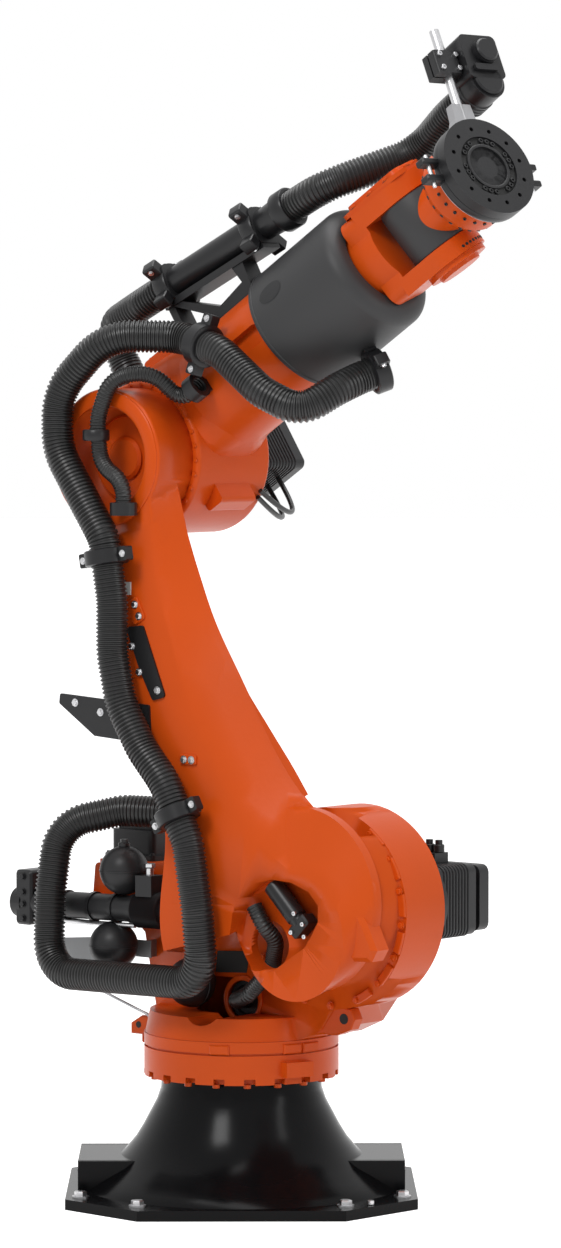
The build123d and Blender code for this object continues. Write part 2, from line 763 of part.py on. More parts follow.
# Flange and hose carrier that turn about axis 6
flange_back = flange_reach - flange_thick
with BuildPart() as tool_flange:
    with BuildSketch(hand_section(nose_front + turn_gap)):
        Circle(nose_radius - 14)
    extrude(amount=flange_back - nose_front - turn_gap)
    with BuildSketch(hand_section(flange_back)):
        Circle(flange_radius)
    extrude(amount=flange_thick)
    with BuildSketch(hand_section(flange_reach)):
        Circle(flange_radius * 0.62)
    extrude(amount=-7, mode=Mode.SUBTRACT)
    with BuildSketch(hand_section(flange_reach)):
        Circle(31)
    extrude(amount=-20, mode=Mode.SUBTRACT)
    with BuildSketch(hand_section(flange_reach)):
        with PolarLocations(flange_pcd / 2, flange_holes, start_angle=15):
            Circle(flange_hole / 2)
    extrude(amount=-(flange_thick - 6), mode=Mode.SUBTRACT)
tool_flange.part.label = "tool_flange"
export_step(tool_flange.part, "parts/tool_flange.step")

# Carrier: split ring behind the flange with an arm that holds the upright rod
carrier_turn = 26.0        # the rod leans from axis 5 to the far side
OUT = TILT * math.cos(carrier_turn * rad) - NOSE_SIDE * math.sin(carrier_turn * rad)
SIDEWAYS = NOSE_SIDE * math.cos(carrier_turn * rad) + TILT * math.sin(carrier_turn * rad)
carrier_back = flange_back - seat_gap - carrier_thick
carrier_rod = 13.0
rod_start = flange_radius + 18
rod_end = 425.0


def carrier_point(x, out, across=0.0):
    """Point of the hose carrier: along the nose, out along the rod, across it."""
    return WRIST + NOSE * x + OUT * out + SIDEWAYS * across


with BuildPart() as hose_carrier:
    with BuildSketch(Plane(origin=WRIST + NOSE * carrier_back, x_dir=OUT, z_dir=NOSE)):
        Circle(flange_radius - 4)
        with BuildLine():
            Polyline(
                (flange_radius - 40, -62), (rod_start, -34), (rod_start + 44, -30),
                (rod_start + 44, 30), (rod_start, 34), (flange_radius - 40, 62),
                (flange_radius - 40, -62),
            )
        make_face()
        Circle(nose_radius - 14 + seat_gap, mode=Mode.SUBTRACT)
    extrude(amount=carrier_thick)
    with BuildSketch(Plane(origin=carrier_point(carrier_back + carrier_thick / 2, 0), x_dir=NOSE, z_dir=OUT)):
        Circle(carrier_rod + seat_gap)
    extrude(amount=rod_start + 60, mode=Mode.SUBTRACT)
hose_carrier.part.label = "hose_carrier"
export_step(hose_carrier.part, "parts/hose_carrier.step")

rod_x = carrier_back + carrier_thick / 2
with BuildPart() as carrier_rod_bar:
    with BuildSketch(Plane(origin=carrier_point(rod_x, rod_start - 20), x_dir=NOSE, z_dir=OUT)):
        Circle(carrier_rod)
    extrude(amount=rod_end - rod_start + 20)
carrier_rod_bar.part.label = "carrier_rod"
export_step(carrier_rod_bar.part, "parts/carrier_rod.step")

# Split block on the rod, the hose's end unit hangs on it
grip_out = 318.0
grip_height = 66.0
unit_width = 118.0
unit_height = 128.0
unit_depth = 70.0
unit_across = -86.0
gland_out = 262.0
gland_across = -90.0
with BuildPart() as rod_grip:
    with BuildSketch(Plane(origin=carrier_point(rod_x, grip_out), x_dir=SIDEWAYS, z_dir=OUT)):
        with Locations((10, 0)):
            RectangleRounded(78, 56, 8)
        Circle(carrier_rod + seat_gap, mode=Mode.SUBTRACT)
        with Locations((34, 0)):
            Rectangle(40, 5, mode=Mode.SUBTRACT)
    extrude(amount=grip_height / 2, both=True)
rod_grip.part.label = "rod_grip"
export_step(rod_grip.part, "parts/rod_grip.step")

unit_start = -10.0 + seat_gap + 39.0
with BuildPart() as hose_end_unit:
    with BuildSketch(Plane(
        origin=carrier_point(rod_x - 20, grip_out + 8, -unit_start - unit_width / 2), x_dir=SIDEWAYS, z_dir=NOSE,
    )):
        RectangleRounded(unit_width, unit_height, 16)
    extrude(amount=unit_depth)
    with BuildSketch(Plane(
        origin=carrier_point(rod_x - 20 + unit_depth, grip_out + 20, -unit_start - unit_width / 2 - 8),
        x_dir=SIDEWAYS,
        z_dir=NOSE,
    )):
        Circle(36)
    extrude(amount=12)
    with BuildSketch(Plane(origin=carrier_point(rod_x - 60, gland_out, gland_across), x_dir=OUT, z_dir=NOSE)):
        Circle(hose_radius + 10)
        Circle(hose_radius + seat_gap, mode=Mode.SUBTRACT)
    extrude(amount=56)
    with BuildSketch(Plane(origin=carrier_point(rod_x - 4, gland_out, gland_across), x_dir=OUT, z_dir=NOSE)):
        Circle(hose_radius + 10)
    extrude(amount=44)
    with BuildSketch(Plane(origin=carrier_point(rod_x - 60, gland_out, gland_across), x_dir=OUT, z_dir=NOSE)):
        Circle(hose_radius + seat_gap)
    extrude(amount=56, mode=Mode.SUBTRACT)
hose_end_unit.part.label = "hose_end_unit"
export_step(hose_end_unit.part, "parts/hose_end_unit.step")

# Conduit that guides the front hose, on a frame over the forearm
conduit_run = math.hypot(conduit_x1 - conduit_x0, conduit_y1 - conduit_y0)
conduit_tilt = math.atan2(conduit_y1 - conduit_y0, conduit_x1 - conduit_x0)
ALONG_C = ALONG * math.cos(conduit_tilt) + ACROSS * math.sin(conduit_tilt)
conduit_mouth = 494.0
mouth_seat = 26.0


def conduit_section(x):
    """Plane square to the conduit, x mm from its rear end."""
    return Plane(origin=fore(conduit_x0, conduit_y0, conduit_w) + ALONG_C * x, x_dir=NEAR, z_dir=ALONG_C)


with BuildPart() as conduit:
    with BuildSketch(conduit_section(0)):
        Circle(conduit_radius)
        Circle(conduit_radius - conduit_wall, mode=Mode.SUBTRACT)
    extrude(amount=conduit_run)
    with BuildSketch(conduit_section(conduit_run)):
        Circle(conduit_radius)
    with BuildSketch(conduit_section(conduit_mouth)):
        Circle(conduit_radius + 9)
    loft()
    with BuildSketch(conduit_section(conduit_run - 1)):
        Circle(conduit_radius - conduit_wall)
    extrude(amount=conduit_mouth - conduit_run + 2, mode=Mode.SUBTRACT)
    with BuildSketch(conduit_section(conduit_mouth - mouth_seat)):
        Circle(hose_radius + seat_gap)
    extrude(amount=mouth_seat + 1, mode=Mode.SUBTRACT)
conduit.part.label = "conduit"
export_step(conduit.part, "parts/conduit.step")

conduit_ring = conduit_radius + seat_gap
with BuildPart() as conduit_frame:
    for start in (4, conduit_run - 52):
        with BuildSketch(conduit_section(start)):
            RectangleRounded(2 * conduit_ring + 14, 2 * conduit_ring + 22, 22)
        extrude(amount=48)
    rail = Plane(origin=fore(conduit_x0, conduit_y0, conduit_w - 34), x_dir=ALONG_C, z_dir=NEAR)
    with BuildSketch(rail):
        with Locations((conduit_run / 2, -conduit_ring - 14)):
            Rectangle(conduit_run - 12, 20)
    extrude(amount=68)
    with BuildSketch(fore_side(conduit_w - 30)):
        with BuildLine():
            Polyline(
                (conduit_x0 + 4, conduit_y0 - 60), (conduit_x0 + 4, 150), (530, 150),
                (540, conduit_y1 - 48), (conduit_x0 + 4, conduit_y0 - 60),
            )
        make_face()
        with BuildLine():
            Polyline((conduit_x0 + 26, 300), (conduit_x0 + 26, 214), (370, 214), (conduit_x0 + 26, 300))
        make_face(mode=Mode.SUBTRACT)
        with BuildLine():
            Polyline((300, 304), (412, 214), (510, 226), (500, 278), (300, 304))
        make_face(mode=Mode.SUBTRACT)
    extrude(amount=60)
    with BuildSketch(fore_section(0)):
        Circle(tube_radius + seat_gap)
    extrude(amount=tube_front, mode=Mode.SUBTRACT)
    with BuildSketch(conduit_section(-20)):
        Circle(conduit_ring)
    extrude(amount=conduit_mouth + 20, mode=Mode.SUBTRACT)
conduit_frame.part.label = "conduit_frame"
export_step(conduit_frame.part, "parts/conduit_frame.step")


def bend_radii(points, wanted):
    """Bend radii that the runs between the points leave room for."""
    radii = []
    for before, corner, after in zip(points, points[1:], points[2:]):
        run = min((corner - before).length, (after - corner).length)
        half_turn = (corner - before).get_angle(after - corner) / 2
        radii.append(min(wanted, 0.45 * run / math.tan(half_turn * rad)))
    return radii


def hose(points, wanted, outer, bore):
    """Hollow hose along straight runs joined by arcs."""
    radii = bend_radii(points, wanted)
    with BuildPart() as made:
        with BuildLine() as route:
            FilletPolyline(*points, radius=radii)
        with BuildSketch(Plane(origin=points[0], z_dir=points[1] - points[0])):
            Circle(outer)
            Circle(bore, mode=Mode.SUBTRACT)
        sweep(path=route.wires()[0])
    return made.part


def clamp(centre, along, foot, reach, radius, foot_width=50.0):
    """Ring around a hose with a foot that reaches its seat."""
    with BuildPart() as made:
        with BuildSketch(Plane(origin=centre - along * clamp_width / 2, x_dir=foot, z_dir=along)):
            Circle(radius + clamp_wall)
            with Locations((reach / 2, 0)):
                Rectangle(reach, foot_width)
            Circle(radius + seat_gap, mode=Mode.SUBTRACT)
        extrude(amount=clamp_width)
    return made.part


def step(start, end):
    """Unit vector from one point to the next."""
    return (end - start).normalized()


# Main hose along the link arm, between its two clamps
face_reach = hose_w - link_near - seat_gap
lower_end = place(73, 1047, hose_w)
upper_end = place(-172, 1716, hose_w)
link_points = [
    upper_end, place(-152, 1600, hose_w), place(-152, 1460, hose_w), place(-122, 1330, hose_w),
    place(-50, 1215, hose_w), place(30, 1130, hose_w), lower_end,
]
upper_along = step(link_points[0], link_points[1])
lower_along = step(link_points[-2], link_points[-1])
link_points[0] = upper_end + upper_along * seat_gap
link_points[-1] = lower_end - lower_along * seat_gap
hose_link = hose(link_points, 220, hose_radius, hose_bore)
hose_link.label = "hose_link"
export_step(hose_link, "parts/hose_link.step")
clamp_upper = clamp(upper_end, upper_along, -NEAR, face_reach, hose_radius)
clamp_upper.label = "clamp_upper"
export_step(clamp_upper, "parts/clamp_upper.step")
clamp_lower = clamp(lower_end, lower_along, -NEAR, face_reach, hose_radius)
clamp_lower.label = "clamp_lower"
export_step(clamp_lower, "parts/clamp_lower.step")

# Loop of the main hose past axis 2, from its post on the rear deck
post = place(-20, 1019, 40)
post_along = step(place(-190, 1019, 60), post)
shoulder_points = [
    post + post_along * clamp_width / 2, place(-190, 1019, 60), place(-320, 1022, 120), place(-452, 985, 225),
    place(-452, 800, 262), place(-440, 590, 285), place(-200, 596, 305), place(150, 606, 335),
    place(142, 800, hose_w), lower_end + lower_along * 80, lower_end + lower_along * seat_gap,
]
hose_shoulder = hose(shoulder_points, 115, hose_radius, hose_bore)
hose_shoulder.label = "hose_shoulder"
export_step(hose_shoulder, "parts/hose_shoulder.step")
clamp_post = clamp(
    post, post_along, -UP, 1019 - rear_deck - seat_gap, hose_radius,
)
clamp_post.label = "clamp_post"
export_step(clamp_post, "parts/clamp_post.step")

# Loop of the main hose past axis 3, to its clamp on the near side of the forearm
elbow_y = 107.0
elbow_w = 205.0
elbow_end = fore(388, elbow_y, elbow_w)
elbow_foot = (ACROSS * (wrist_offset - elbow_y) - NEAR * elbow_w).normalized()
elbow_down = ALONG.cross(elbow_foot).normalized()
if elbow_down.dot(UP) > 0:
    elbow_down = elbow_down * -1
elbow_along = (ALONG * 0.68 + elbow_down * 0.73).normalized()
elbow_points = [
    upper_end - upper_along * seat_gap, upper_end - upper_along * 50, place(-345, 2000, hose_w),
    place(-352, 2150, hose_w - 8), place(-215, 2300, 300), elbow_end - elbow_along * 95,
    elbow_end - elbow_along * seat_gap,
]
hose_elbow = hose(elbow_points, 170, hose_radius, hose_bore)
hose_elbow.label = "hose_elbow"
export_step(hose_elbow, "parts/hose_elbow.step")
elbow_reach = math.hypot(elbow_y - wrist_offset, elbow_w) - tube_radius + 12
with BuildPart() as clamp_elbow:
    add(clamp(elbow_end, elbow_along, elbow_foot, elbow_reach, hose_radius))
    with BuildSketch(fore_section(250)):
        Circle(tube_radius + seat_gap)
    extrude(amount=300, mode=Mode.SUBTRACT)
clamp_elbow.part.label = "clamp_elbow"
export_step(clamp_elbow.part, "parts/clamp_elbow.step")

# Main hose along the forearm, to its clamp under the cover
under_y = wrist_offset - cover_radius - seat_gap - clamp_wall - hose_radius
under_end = fore(706, under_y, 0)
under_along = (ALONG * 0.62 - NEAR * 0.78).normalized()
forearm_points = [
    elbow_end + elbow_along * seat_gap, elbow_end + elbow_along * 70, fore(500, -110, 222),
    fore(560, -212, 190), fore(640, under_y - 12, 106), under_end - under_along * 50,
    under_end + under_along * clamp_width / 2,
]
hose_forearm = hose(forearm_points, 150, hose_radius, hose_bore)
hose_forearm.label = "hose_forearm"
export_step(hose_forearm, "parts/hose_forearm.step")
with BuildPart() as clamp_under:
    add(clamp(under_end, under_along, ACROSS, hose_radius + clamp_wall + 14, hose_radius, 60))
    with BuildSketch(fore_section(cover_rear)):
        Circle(cover_radius + seat_gap)
    extrude(amount=cover_front - cover_rear, mode=Mode.SUBTRACT)
clamp_under.part.label = "clamp_under"
export_step(clamp_under.part, "parts/clamp_under.step")

# Thin hose from the forearm to its fitting on the rim of the upper hub
thin_w = tube_radius + thin_radius + clamp_wall + 1
thin_end = fore(300, 30, thin_w)
rim_angle = 306.0
rim_u = elbow_u + (hub3_radius + hub3_dish) / 2 * math.cos(rim_angle * rad)
rim_v = elbow_v + (hub3_radius + hub3_dish) / 2 * math.sin(rim_angle * rad)
rim_w = link_near + thin_radius + clamp_wall + 1
rim_end = place(rim_u, rim_v, rim_w)
thin_points = [
    thin_end + ALONG * clamp_width / 2, thin_end - ALONG * 60, place(-100, 2205, 250),
    place(-180, 2190, 322), place(-222, 2080, 327), place(-212, 1960, 327), rim_end + UP * 70,
    rim_end - UP * clamp_width / 2,
]
hose_thin = hose(thin_points, 120, thin_radius, thin_bore)
hose_thin.label = "hose_thin"
export_step(hose_thin, "parts/hose_thin.step")
with BuildPart() as clamp_thin:
    add(clamp(thin_end, ALONG, -NEAR, thin_w - tube_radius + 10, thin_radius, 34))
    with BuildSketch(fore_section(250)):
        Circle(tube_radius + seat_gap)
    extrude(amount=300, mode=Mode.SUBTRACT)
clamp_thin.part.label = "clamp_thin"
export_step(clamp_thin.part, "parts/clamp_thin.step")
clamp_rim = clamp(rim_end, -UP, -NEAR, rim_w - link_near - seat_gap, thin_radius, 34)
clamp_rim.label = "clamp_rim"
export_step(clamp_rim, "parts/clamp_rim.step")

# Rear hose from the conduit down into the forearm's housing
conduit_rear = conduit_section(-seat_gap).origin
rear_points = [
    conduit_rear, conduit_rear - ALONG_C * 95, fore(30, 405, 40), fore(-12, 330, 10),
    fore(-12, housing3_radius + seat_gap, 10),
]
hose_rear = hose(rear_points, 110, hose_radius, hose_bore)
hose_rear.label = "hose_rear"
export_step(hose_rear, "parts/hose_rear.step")

# Front hose from the conduit's mouth to the end unit on the flange's carrier
front_start = conduit_section(conduit_mouth - mouth_seat + seat_gap).origin
gland_seat = carrier_point(rod_x - 4 - seat_gap, gland_out, gland_across)
front_points = [
    front_start, conduit_section(conduit_mouth + 110).origin,
    gland_seat - NOSE * 290 - OUT * 20, gland_seat - NOSE * 140, gland_seat,
]
hose_front = hose(front_points, 420, hose_radius, hose_bore)
hose_front.label = "hose_front"
export_step(hose_front, "parts/hose_front.step")

# Thin hose from the hollow of the lower hub into the column
port = place(60, column_low + 92, column_near)
column_points = [
    place(exit_u - 40, exit_v + 90, link_near - 33), place(exit_u - 12, exit_v + 44, link_near - 33),
    place(exit_u, exit_v, hub2_face + 10), place(exit_u - 60, exit_v - 82, 160),
    place(150, 562, 150), port + NEAR * 44, port - NEAR * 40,
]
hose_column = hose(column_points, 60, thin_radius, thin_bore)
hose_column.label = "hose_column"
export_step(hose_column, "parts/hose_column.step")

# Sheet plates on the near face of the link arm
with BuildPart() as hook_plate:
    with BuildSketch(side(link_near + seat_gap)):
        with BuildLine():
            Polyline(
                (-150, 1530), (-92, 1536), (-52, 1440), (-14, 1350), (-58, 1338), (-104, 1420), (-150, 1530),
            )
        make_face()
        fillet(vertices(), 9)
    extrude(amount=6)
hook_plate.part.label = "hook_plate"
export_step(hook_plate.part, "parts/hook_plate.step")
with BuildPart() as fold_plate:
    with BuildSketch(side(link_near + seat_gap)):
        with BuildLine():
            Polyline(
                (-70, 1326), (-385, 1345), (-388, 1318), (-262, 1236), (-64, 1222), (-70, 1326),
            )
        make_face()
        fillet(vertices(), 6)
    extrude(amount=6)
fold_plate.part.label = "fold_plate"
export_step(fold_plate.part, "parts/fold_plate.step")
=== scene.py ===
import bpy
import json
import math
import numpy as np
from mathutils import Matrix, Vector


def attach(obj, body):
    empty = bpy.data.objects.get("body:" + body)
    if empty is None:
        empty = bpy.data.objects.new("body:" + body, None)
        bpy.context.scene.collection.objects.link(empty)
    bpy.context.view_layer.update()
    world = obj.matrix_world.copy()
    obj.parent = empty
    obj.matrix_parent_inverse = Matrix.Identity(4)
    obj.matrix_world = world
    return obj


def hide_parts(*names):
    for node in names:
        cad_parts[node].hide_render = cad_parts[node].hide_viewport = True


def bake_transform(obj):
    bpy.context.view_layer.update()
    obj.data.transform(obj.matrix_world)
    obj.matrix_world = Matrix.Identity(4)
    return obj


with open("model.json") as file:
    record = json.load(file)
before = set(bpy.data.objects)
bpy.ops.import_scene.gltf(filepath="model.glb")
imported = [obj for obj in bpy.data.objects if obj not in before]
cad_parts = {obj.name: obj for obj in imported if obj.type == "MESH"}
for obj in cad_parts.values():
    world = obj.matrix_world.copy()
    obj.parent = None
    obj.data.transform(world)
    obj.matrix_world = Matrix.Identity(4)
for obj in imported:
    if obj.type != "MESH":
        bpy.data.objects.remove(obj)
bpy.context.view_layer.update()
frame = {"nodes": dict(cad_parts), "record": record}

# Sizes in mm, as in the CAD part
rad = math.pi / 180
yaw, rise, roll, bend, lean = 40 * rad, 32.9 * rad, 17.5 * rad, 12.3 * rad, 28.8 * rad
carrier_turn = 26 * rad
UP = np.array((0.0, 0.0, 1.0))
FWD = np.array((math.cos(yaw), -math.sin(yaw), 0.0))
NEAR = np.array((-math.sin(yaw), -math.cos(yaw), 0.0))
ALONG = FWD * math.cos(rise) + UP * math.sin(rise)
ACROSS = UP * math.cos(rise) - FWD * math.sin(rise)
LINK = UP * math.cos(lean) - FWD * math.sin(lean)
LINK_REAR = -UP * math.sin(lean) - FWD * math.cos(lean)
TILT = ACROSS * math.cos(roll) + NEAR * math.sin(roll)
BEND = NEAR * math.cos(roll) - ACROSS * math.sin(roll)
NOSE = ALONG * math.cos(bend) + BEND * math.sin(bend)
NOSE_SIDE = BEND * math.cos(bend) - ALONG * math.sin(bend)
OUT = TILT * math.cos(carrier_turn) - NOSE_SIDE * math.sin(carrier_turn)
SIDEWAYS = NOSE_SIDE * math.cos(carrier_turn) + TILT * math.sin(carrier_turn)


def place(u, v, w):
    """Point of the arm's frame: forward, up, to the near side."""
    return FWD * u + UP * v + NEAR * w


SHOULDER = place(400, 835, 0)
ELBOW = place(-226.28, 1974.2, 0)


def fore(x, y, w=0.0):
    """Point of the forearm's frame: along it, across it, to the near side."""
    return ELBOW + ALONG * x + ACROSS * y + NEAR * w


WRIST = fore(1050, 55)


def hand(x, t=0.0, b=0.0):
    """Point of the hand's frame: along its nose, along axis 5, across both."""
    return WRIST + NOSE * x + TILT * t + NOSE_SIDE * b


def carrier(x, out, across=0.0):
    """Point of the hose carrier's frame."""
    return WRIST + NOSE * x + OUT * out + SIDEWAYS * across


# Materials
def finish_of(
    name, colour, roughness, metallic=0.0, coat=0.0, specular=0.5, grain=0.0, grain_scale=60.0, shade=0.12
):
    """Procedural surface: a base colour that varies a little, and a fine grain."""
    material = bpy.data.materials.new(name)
    material.use_nodes = True
    nodes, links = material.node_tree.nodes, material.node_tree.links
    shader = nodes["Principled BSDF"]
    shader.inputs["Roughness"].default_value = roughness
    shader.inputs["Metallic"].default_value = metallic
    shader.inputs["Coat Weight"].default_value = coat
    shader.inputs["Coat Roughness"].default_value = 0.15
    shader.inputs["Specular IOR Level"].default_value = specular
    where = nodes.new("ShaderNodeTexCoord")
    cloud = nodes.new("ShaderNodeTexNoise")
    cloud.inputs["Scale"].default_value = 3.0
    cloud.inputs["Detail"].default_value = 3.0
    ramp = nodes.new("ShaderNodeValToRGB")
    ramp.color_ramp.elements[0].position = 0.3
    ramp.color_ramp.elements[1].position = 0.7
    ramp.color_ramp.elements[0].color = (*(c * (1 - shade) for c in colour), 1)
    ramp.color_ramp.elements[1].color = (*(min(1, c * (1 + shade)) for c in colour), 1)
    links.new(where.outputs["Object"], cloud.inputs["Vector"])
    links.new(cloud.outputs["Fac"], ramp.inputs["Fac"])
    links.new(ramp.outputs["Color"], shader.inputs["Base Color"])
    if grain:
        fine = nodes.new("ShaderNodeTexNoise")
        fine.inputs["Scale"].default_value = grain_scale
        fine.inputs["Detail"].default_value = 4.0
        bump = nodes.new("ShaderNodeBump")
        bump.inputs["Strength"].default_value = grain
        bump.inputs["Distance"].default_value = 0.002
        links.new(where.outputs["Object"], fine.inputs["Vector"])
        links.new(fine.outputs["Fac"], bump.inputs["Height"])
        links.new(bump.outputs["Normal"], shader.inputs["Normal"])
    return material


ORANGE = finish_of(
    "orange_paint", (0.60, 0.074, 0.005), 0.36, coat=0.06, specular=0.14,
    grain=0.12, grain_scale=90, shade=0.05,
)
GLOSS = finish_of("black_paint", (0.004, 0.004, 0.0045), 0.2, specular=0.09, grain=0.05, grain_scale=40)
MOTOR = finish_of("black_metal", (0.013, 0.013, 0.014), 0.42, specular=0.3, grain=0.1, grain_scale=140)
COVER = finish_of(
    "grey_cover", (0.034, 0.034, 0.035), 0.5, specular=0.3, grain=0.05, grain_scale=200, shade=0.04
)
PLASTIC = finish_of("black_plastic", (0.011, 0.011, 0.012), 0.34, specular=0.3, grain=0.04, grain_scale=200)
HOSE = finish_of("hose_plastic", (0.017, 0.017, 0.017), 0.36, specular=0.42, shade=0.08)
STEEL = finish_of("steel", (0.55, 0.55, 0.56), 0.3, metallic=1.0, shade=0.05)
ZINC = finish_of("zinc", (0.36, 0.36, 0.37), 0.42, metallic=0.9, shade=0.06)
SHEET = finish_of("grey_sheet", (0.23, 0.235, 0.24), 0.45, metallic=0.3, shade=0.05)
# Near-black colour for flat pieces laid over holes, wells and recesses: painted shade
RECESS_SHADE = finish_of("hollow", (0.006, 0.006, 0.006), 0.8, shade=0.02)
PALE = finish_of("pale_plastic", (0.62, 0.62, 0.60), 0.5, shade=0.03)
SLOTS = {
    "orange_paint": ORANGE, "black_paint": GLOSS, "black_metal": MOTOR, "grey_cover": COVER,
    "black_plastic": PLASTIC, "hose_plastic": HOSE, "steel": STEEL,
}


class Shape:
    """Collects simple solids into one mesh. Points are in mm in the row frame."""

    def __init__(self):
        self.points, self.faces = [], []

    def add(self, points, faces):
        """Takes in points and the faces between them."""
        start = len(self.points)
        self.points += [tuple(p) for p in points]
        self.faces += [tuple(start + i for i in f) for f in faces]

    def lathe(self, base, axis, profile, sides=48):
        """Surface of (height, radius) points turned round an axis."""
        axis = axis / np.linalg.norm(axis)
        x = np.cross(axis, UP if abs(axis @ UP) < 0.9 else FWD)
        x = x - axis * (x @ axis)
        x = x / np.linalg.norm(x)
        y = np.cross(axis, x)
        points, faces, rows = [], [], []
        for height, radius in profile:
            row = []
            if radius < 1e-6:
                row = [len(points)] * sides
                points.append(base + axis * height)
            else:
                for i in range(sides):
                    a = 2 * math.pi * i / sides
                    row.append(len(points))
                    points.append(base + axis * height + (x * math.cos(a) + y * math.sin(a)) * radius)
            rows.append(row)
        for low, high in zip(rows, rows[1:]):
            for i in range(sides):
                j = (i + 1) % sides
                face = []
                for k in (low[i], low[j], high[j], high[i]):
                    if k not in face:
                        face.append(k)
                if len(face) > 2:
                    faces.append(face)
        self.add(points, faces)

    def drum(self, base, axis, radius, height, edge=1.5, sides=40):
        """Closed cylinder with chamfered ends."""
        self.lathe(base, axis, [
            (0, 0), (0, radius - edge), (edge, radius),
            (height - edge, radius), (height, radius - edge), (height, 0),
        ], sides)

    def prism(self, origin, x_dir, y_dir, outline, depth, edge=0.0):
        """Outline in the plane of x_dir and y_dir, raised along their normal, chamfered on top."""
        outline = np.array(outline, float)
        area = sum(a[0] * b[1] - b[0] * a[1] for a, b in zip(outline, np.roll(outline, -1, 0)))
        if area < 0:
            outline = outline[::-1]
        z_dir = np.cross(x_dir, y_dir)
        n = len(outline)
        levels = [(0.0, 0.0), (depth - edge, 0.0)] + ([(depth, edge)] if edge else [])
        points, faces = [], []
        for height, inset in levels:
            for i in range(n):
                before, here, after = outline[i - 1], outline[i], outline[(i + 1) % n]
                d0 = (here - before) / (np.linalg.norm(here - before) + 1e-9)
                d1 = (after - here) / (np.linalg.norm(after - here) + 1e-9)
                n0, n1 = np.array((-d0[1], d0[0])), np.array((-d1[1], d1[0]))
                mitre = (n0 + n1) / max(0.35, 1 + n0 @ n1)
                p = here + mitre * inset
                points.append(origin + x_dir * p[0] + y_dir * p[1] + z_dir * height)
        for level in range(len(levels) - 1):
            for i in range(n):
                j = (i + 1) % n
                a, b = level * n, (level + 1) * n
                faces.append((a + i, a + j, b + j, b + i))
        faces.append(tuple(reversed(range(n))))
        faces.append(tuple(range((len(levels) - 1) * n, len(levels) * n)))
        self.add(points, faces)

    def block(self, centre, x_dir, y_dir, size, edge=2.0, corner=0.0):
        """Box around its centre, chamfered on top and rounded at its corners if asked."""
        a, b, c = size[0] / 2, size[1] / 2, size[2]
        if corner:
            outline = []
            for cx, cy, start in ((a, b, 0), (-a, b, 90), (-a, -b, 180), (a, -b, 270)):
                for k in range(5):
                    t = (start + 22.5 * k) * rad
                    outline.append((
                        cx - math.copysign(corner, cx) + corner * math.cos(t),
                        cy - math.copysign(corner, cy) + corner * math.sin(t),
                    ))
        else:
            outline = [(-a, -b), (a, -b), (a, b), (-a, b)]
        z_dir = np.cross(x_dir, y_dir)
        self.prism(centre - z_dir * c / 2, x_dir, y_dir, outline, c, edge)

    def bolt(self, base, axis, size=8.0, washer=True):
        """Hex head on a washer; size is the head's radius."""
        height = 0.0
        if washer:
            height = size * 0.22
            self.lathe(base, axis, [(0, 0), (0, size * 1.35), (height, size * 1.35), (height, 0)], 20)
        self.lathe(base, axis, [
            (height, 0), (height, size), (height + size * 0.62, size), (height + size * 0.75, size * 0.86),
            (height + size * 0.75, 0),
        ], 6)

    def cap_screw(self, base, axis, size=6.0):
        """Round head with a socket."""
        self.lathe(base, axis, [
            (0, 0), (0, size), (size * 0.9, size), (size, size * 0.9),
            (size, size * 0.5), (size * 0.45, size * 0.5), (size * 0.45, 0),
        ], 16)

    def tube(self, path, radii, sides=24, closed_ends=False):
        """Tube along a path; radii is one radius, or one for each point."""
        path = np.array(path, float)
        radii = np.full(len(path), radii) if np.isscalar(radii) else np.array(radii, float)
        tangents = np.gradient(path, axis=0)
        tangents /= np.linalg.norm(tangents, axis=1)[:, None]
        side = np.cross(tangents[0], UP if abs(tangents[0] @ UP) < 0.9 else FWD)
        side /= np.linalg.norm(side)
        points, faces = [], []
        angles = 2 * math.pi * np.arange(sides) / sides
        for p, t, r in zip(path, tangents, radii):
            side = side - t * (side @ t)
            side /= np.linalg.norm(side)
            up = np.cross(t, side)
            for a in angles:
                points.append(p + (side * math.cos(a) + up * math.sin(a)) * r)
        for k in range(len(path) - 1):
            for i in range(sides):
                j = (i + 1) % sides
                a, b = k * sides, (k + 1) * sides
                faces.append((a + i, a + j, b + j, b + i))
        if closed_ends:
            faces.append(tuple(reversed(range(sides))))
            faces.append(tuple((len(path) - 1) * sides + i for i in range(sides)))
        self.add(points, faces)

    def make(self, name, material, body=None, sharp=38.0):
        """Turns what was collected into an object that rides on a body."""
        mesh = bpy.data.meshes.new(name)
        mesh.from_pydata([tuple(float(c) / 1000 for c in p) for p in self.points], [], self.faces)
        mesh.shade_smooth()
        mesh.set_sharp_from_angle(angle=sharp * rad)
        mesh.materials.append(material)
        obj = bpy.data.objects.new(name, mesh)
        bpy.context.scene.collection.objects.link(obj)
        if body:
            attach(obj, body)
        return obj


def unit(v):
    """Direction of a vector."""
    return v / np.linalg.norm(v)


def bend_radii(points, wanted):
    """Bend radii that the runs between the points leave room for."""
    radii = []
    for before, corner, after in zip(points, points[1:], points[2:]):
        run = min(np.linalg.norm(corner - before), np.linalg.norm(after - corner))
        half_turn = math.acos(float(unit(corner - before) @ unit(after - corner))) / 2
        radii.append(min(wanted, 0.45 * run / math.tan(half_turn)))
    return radii


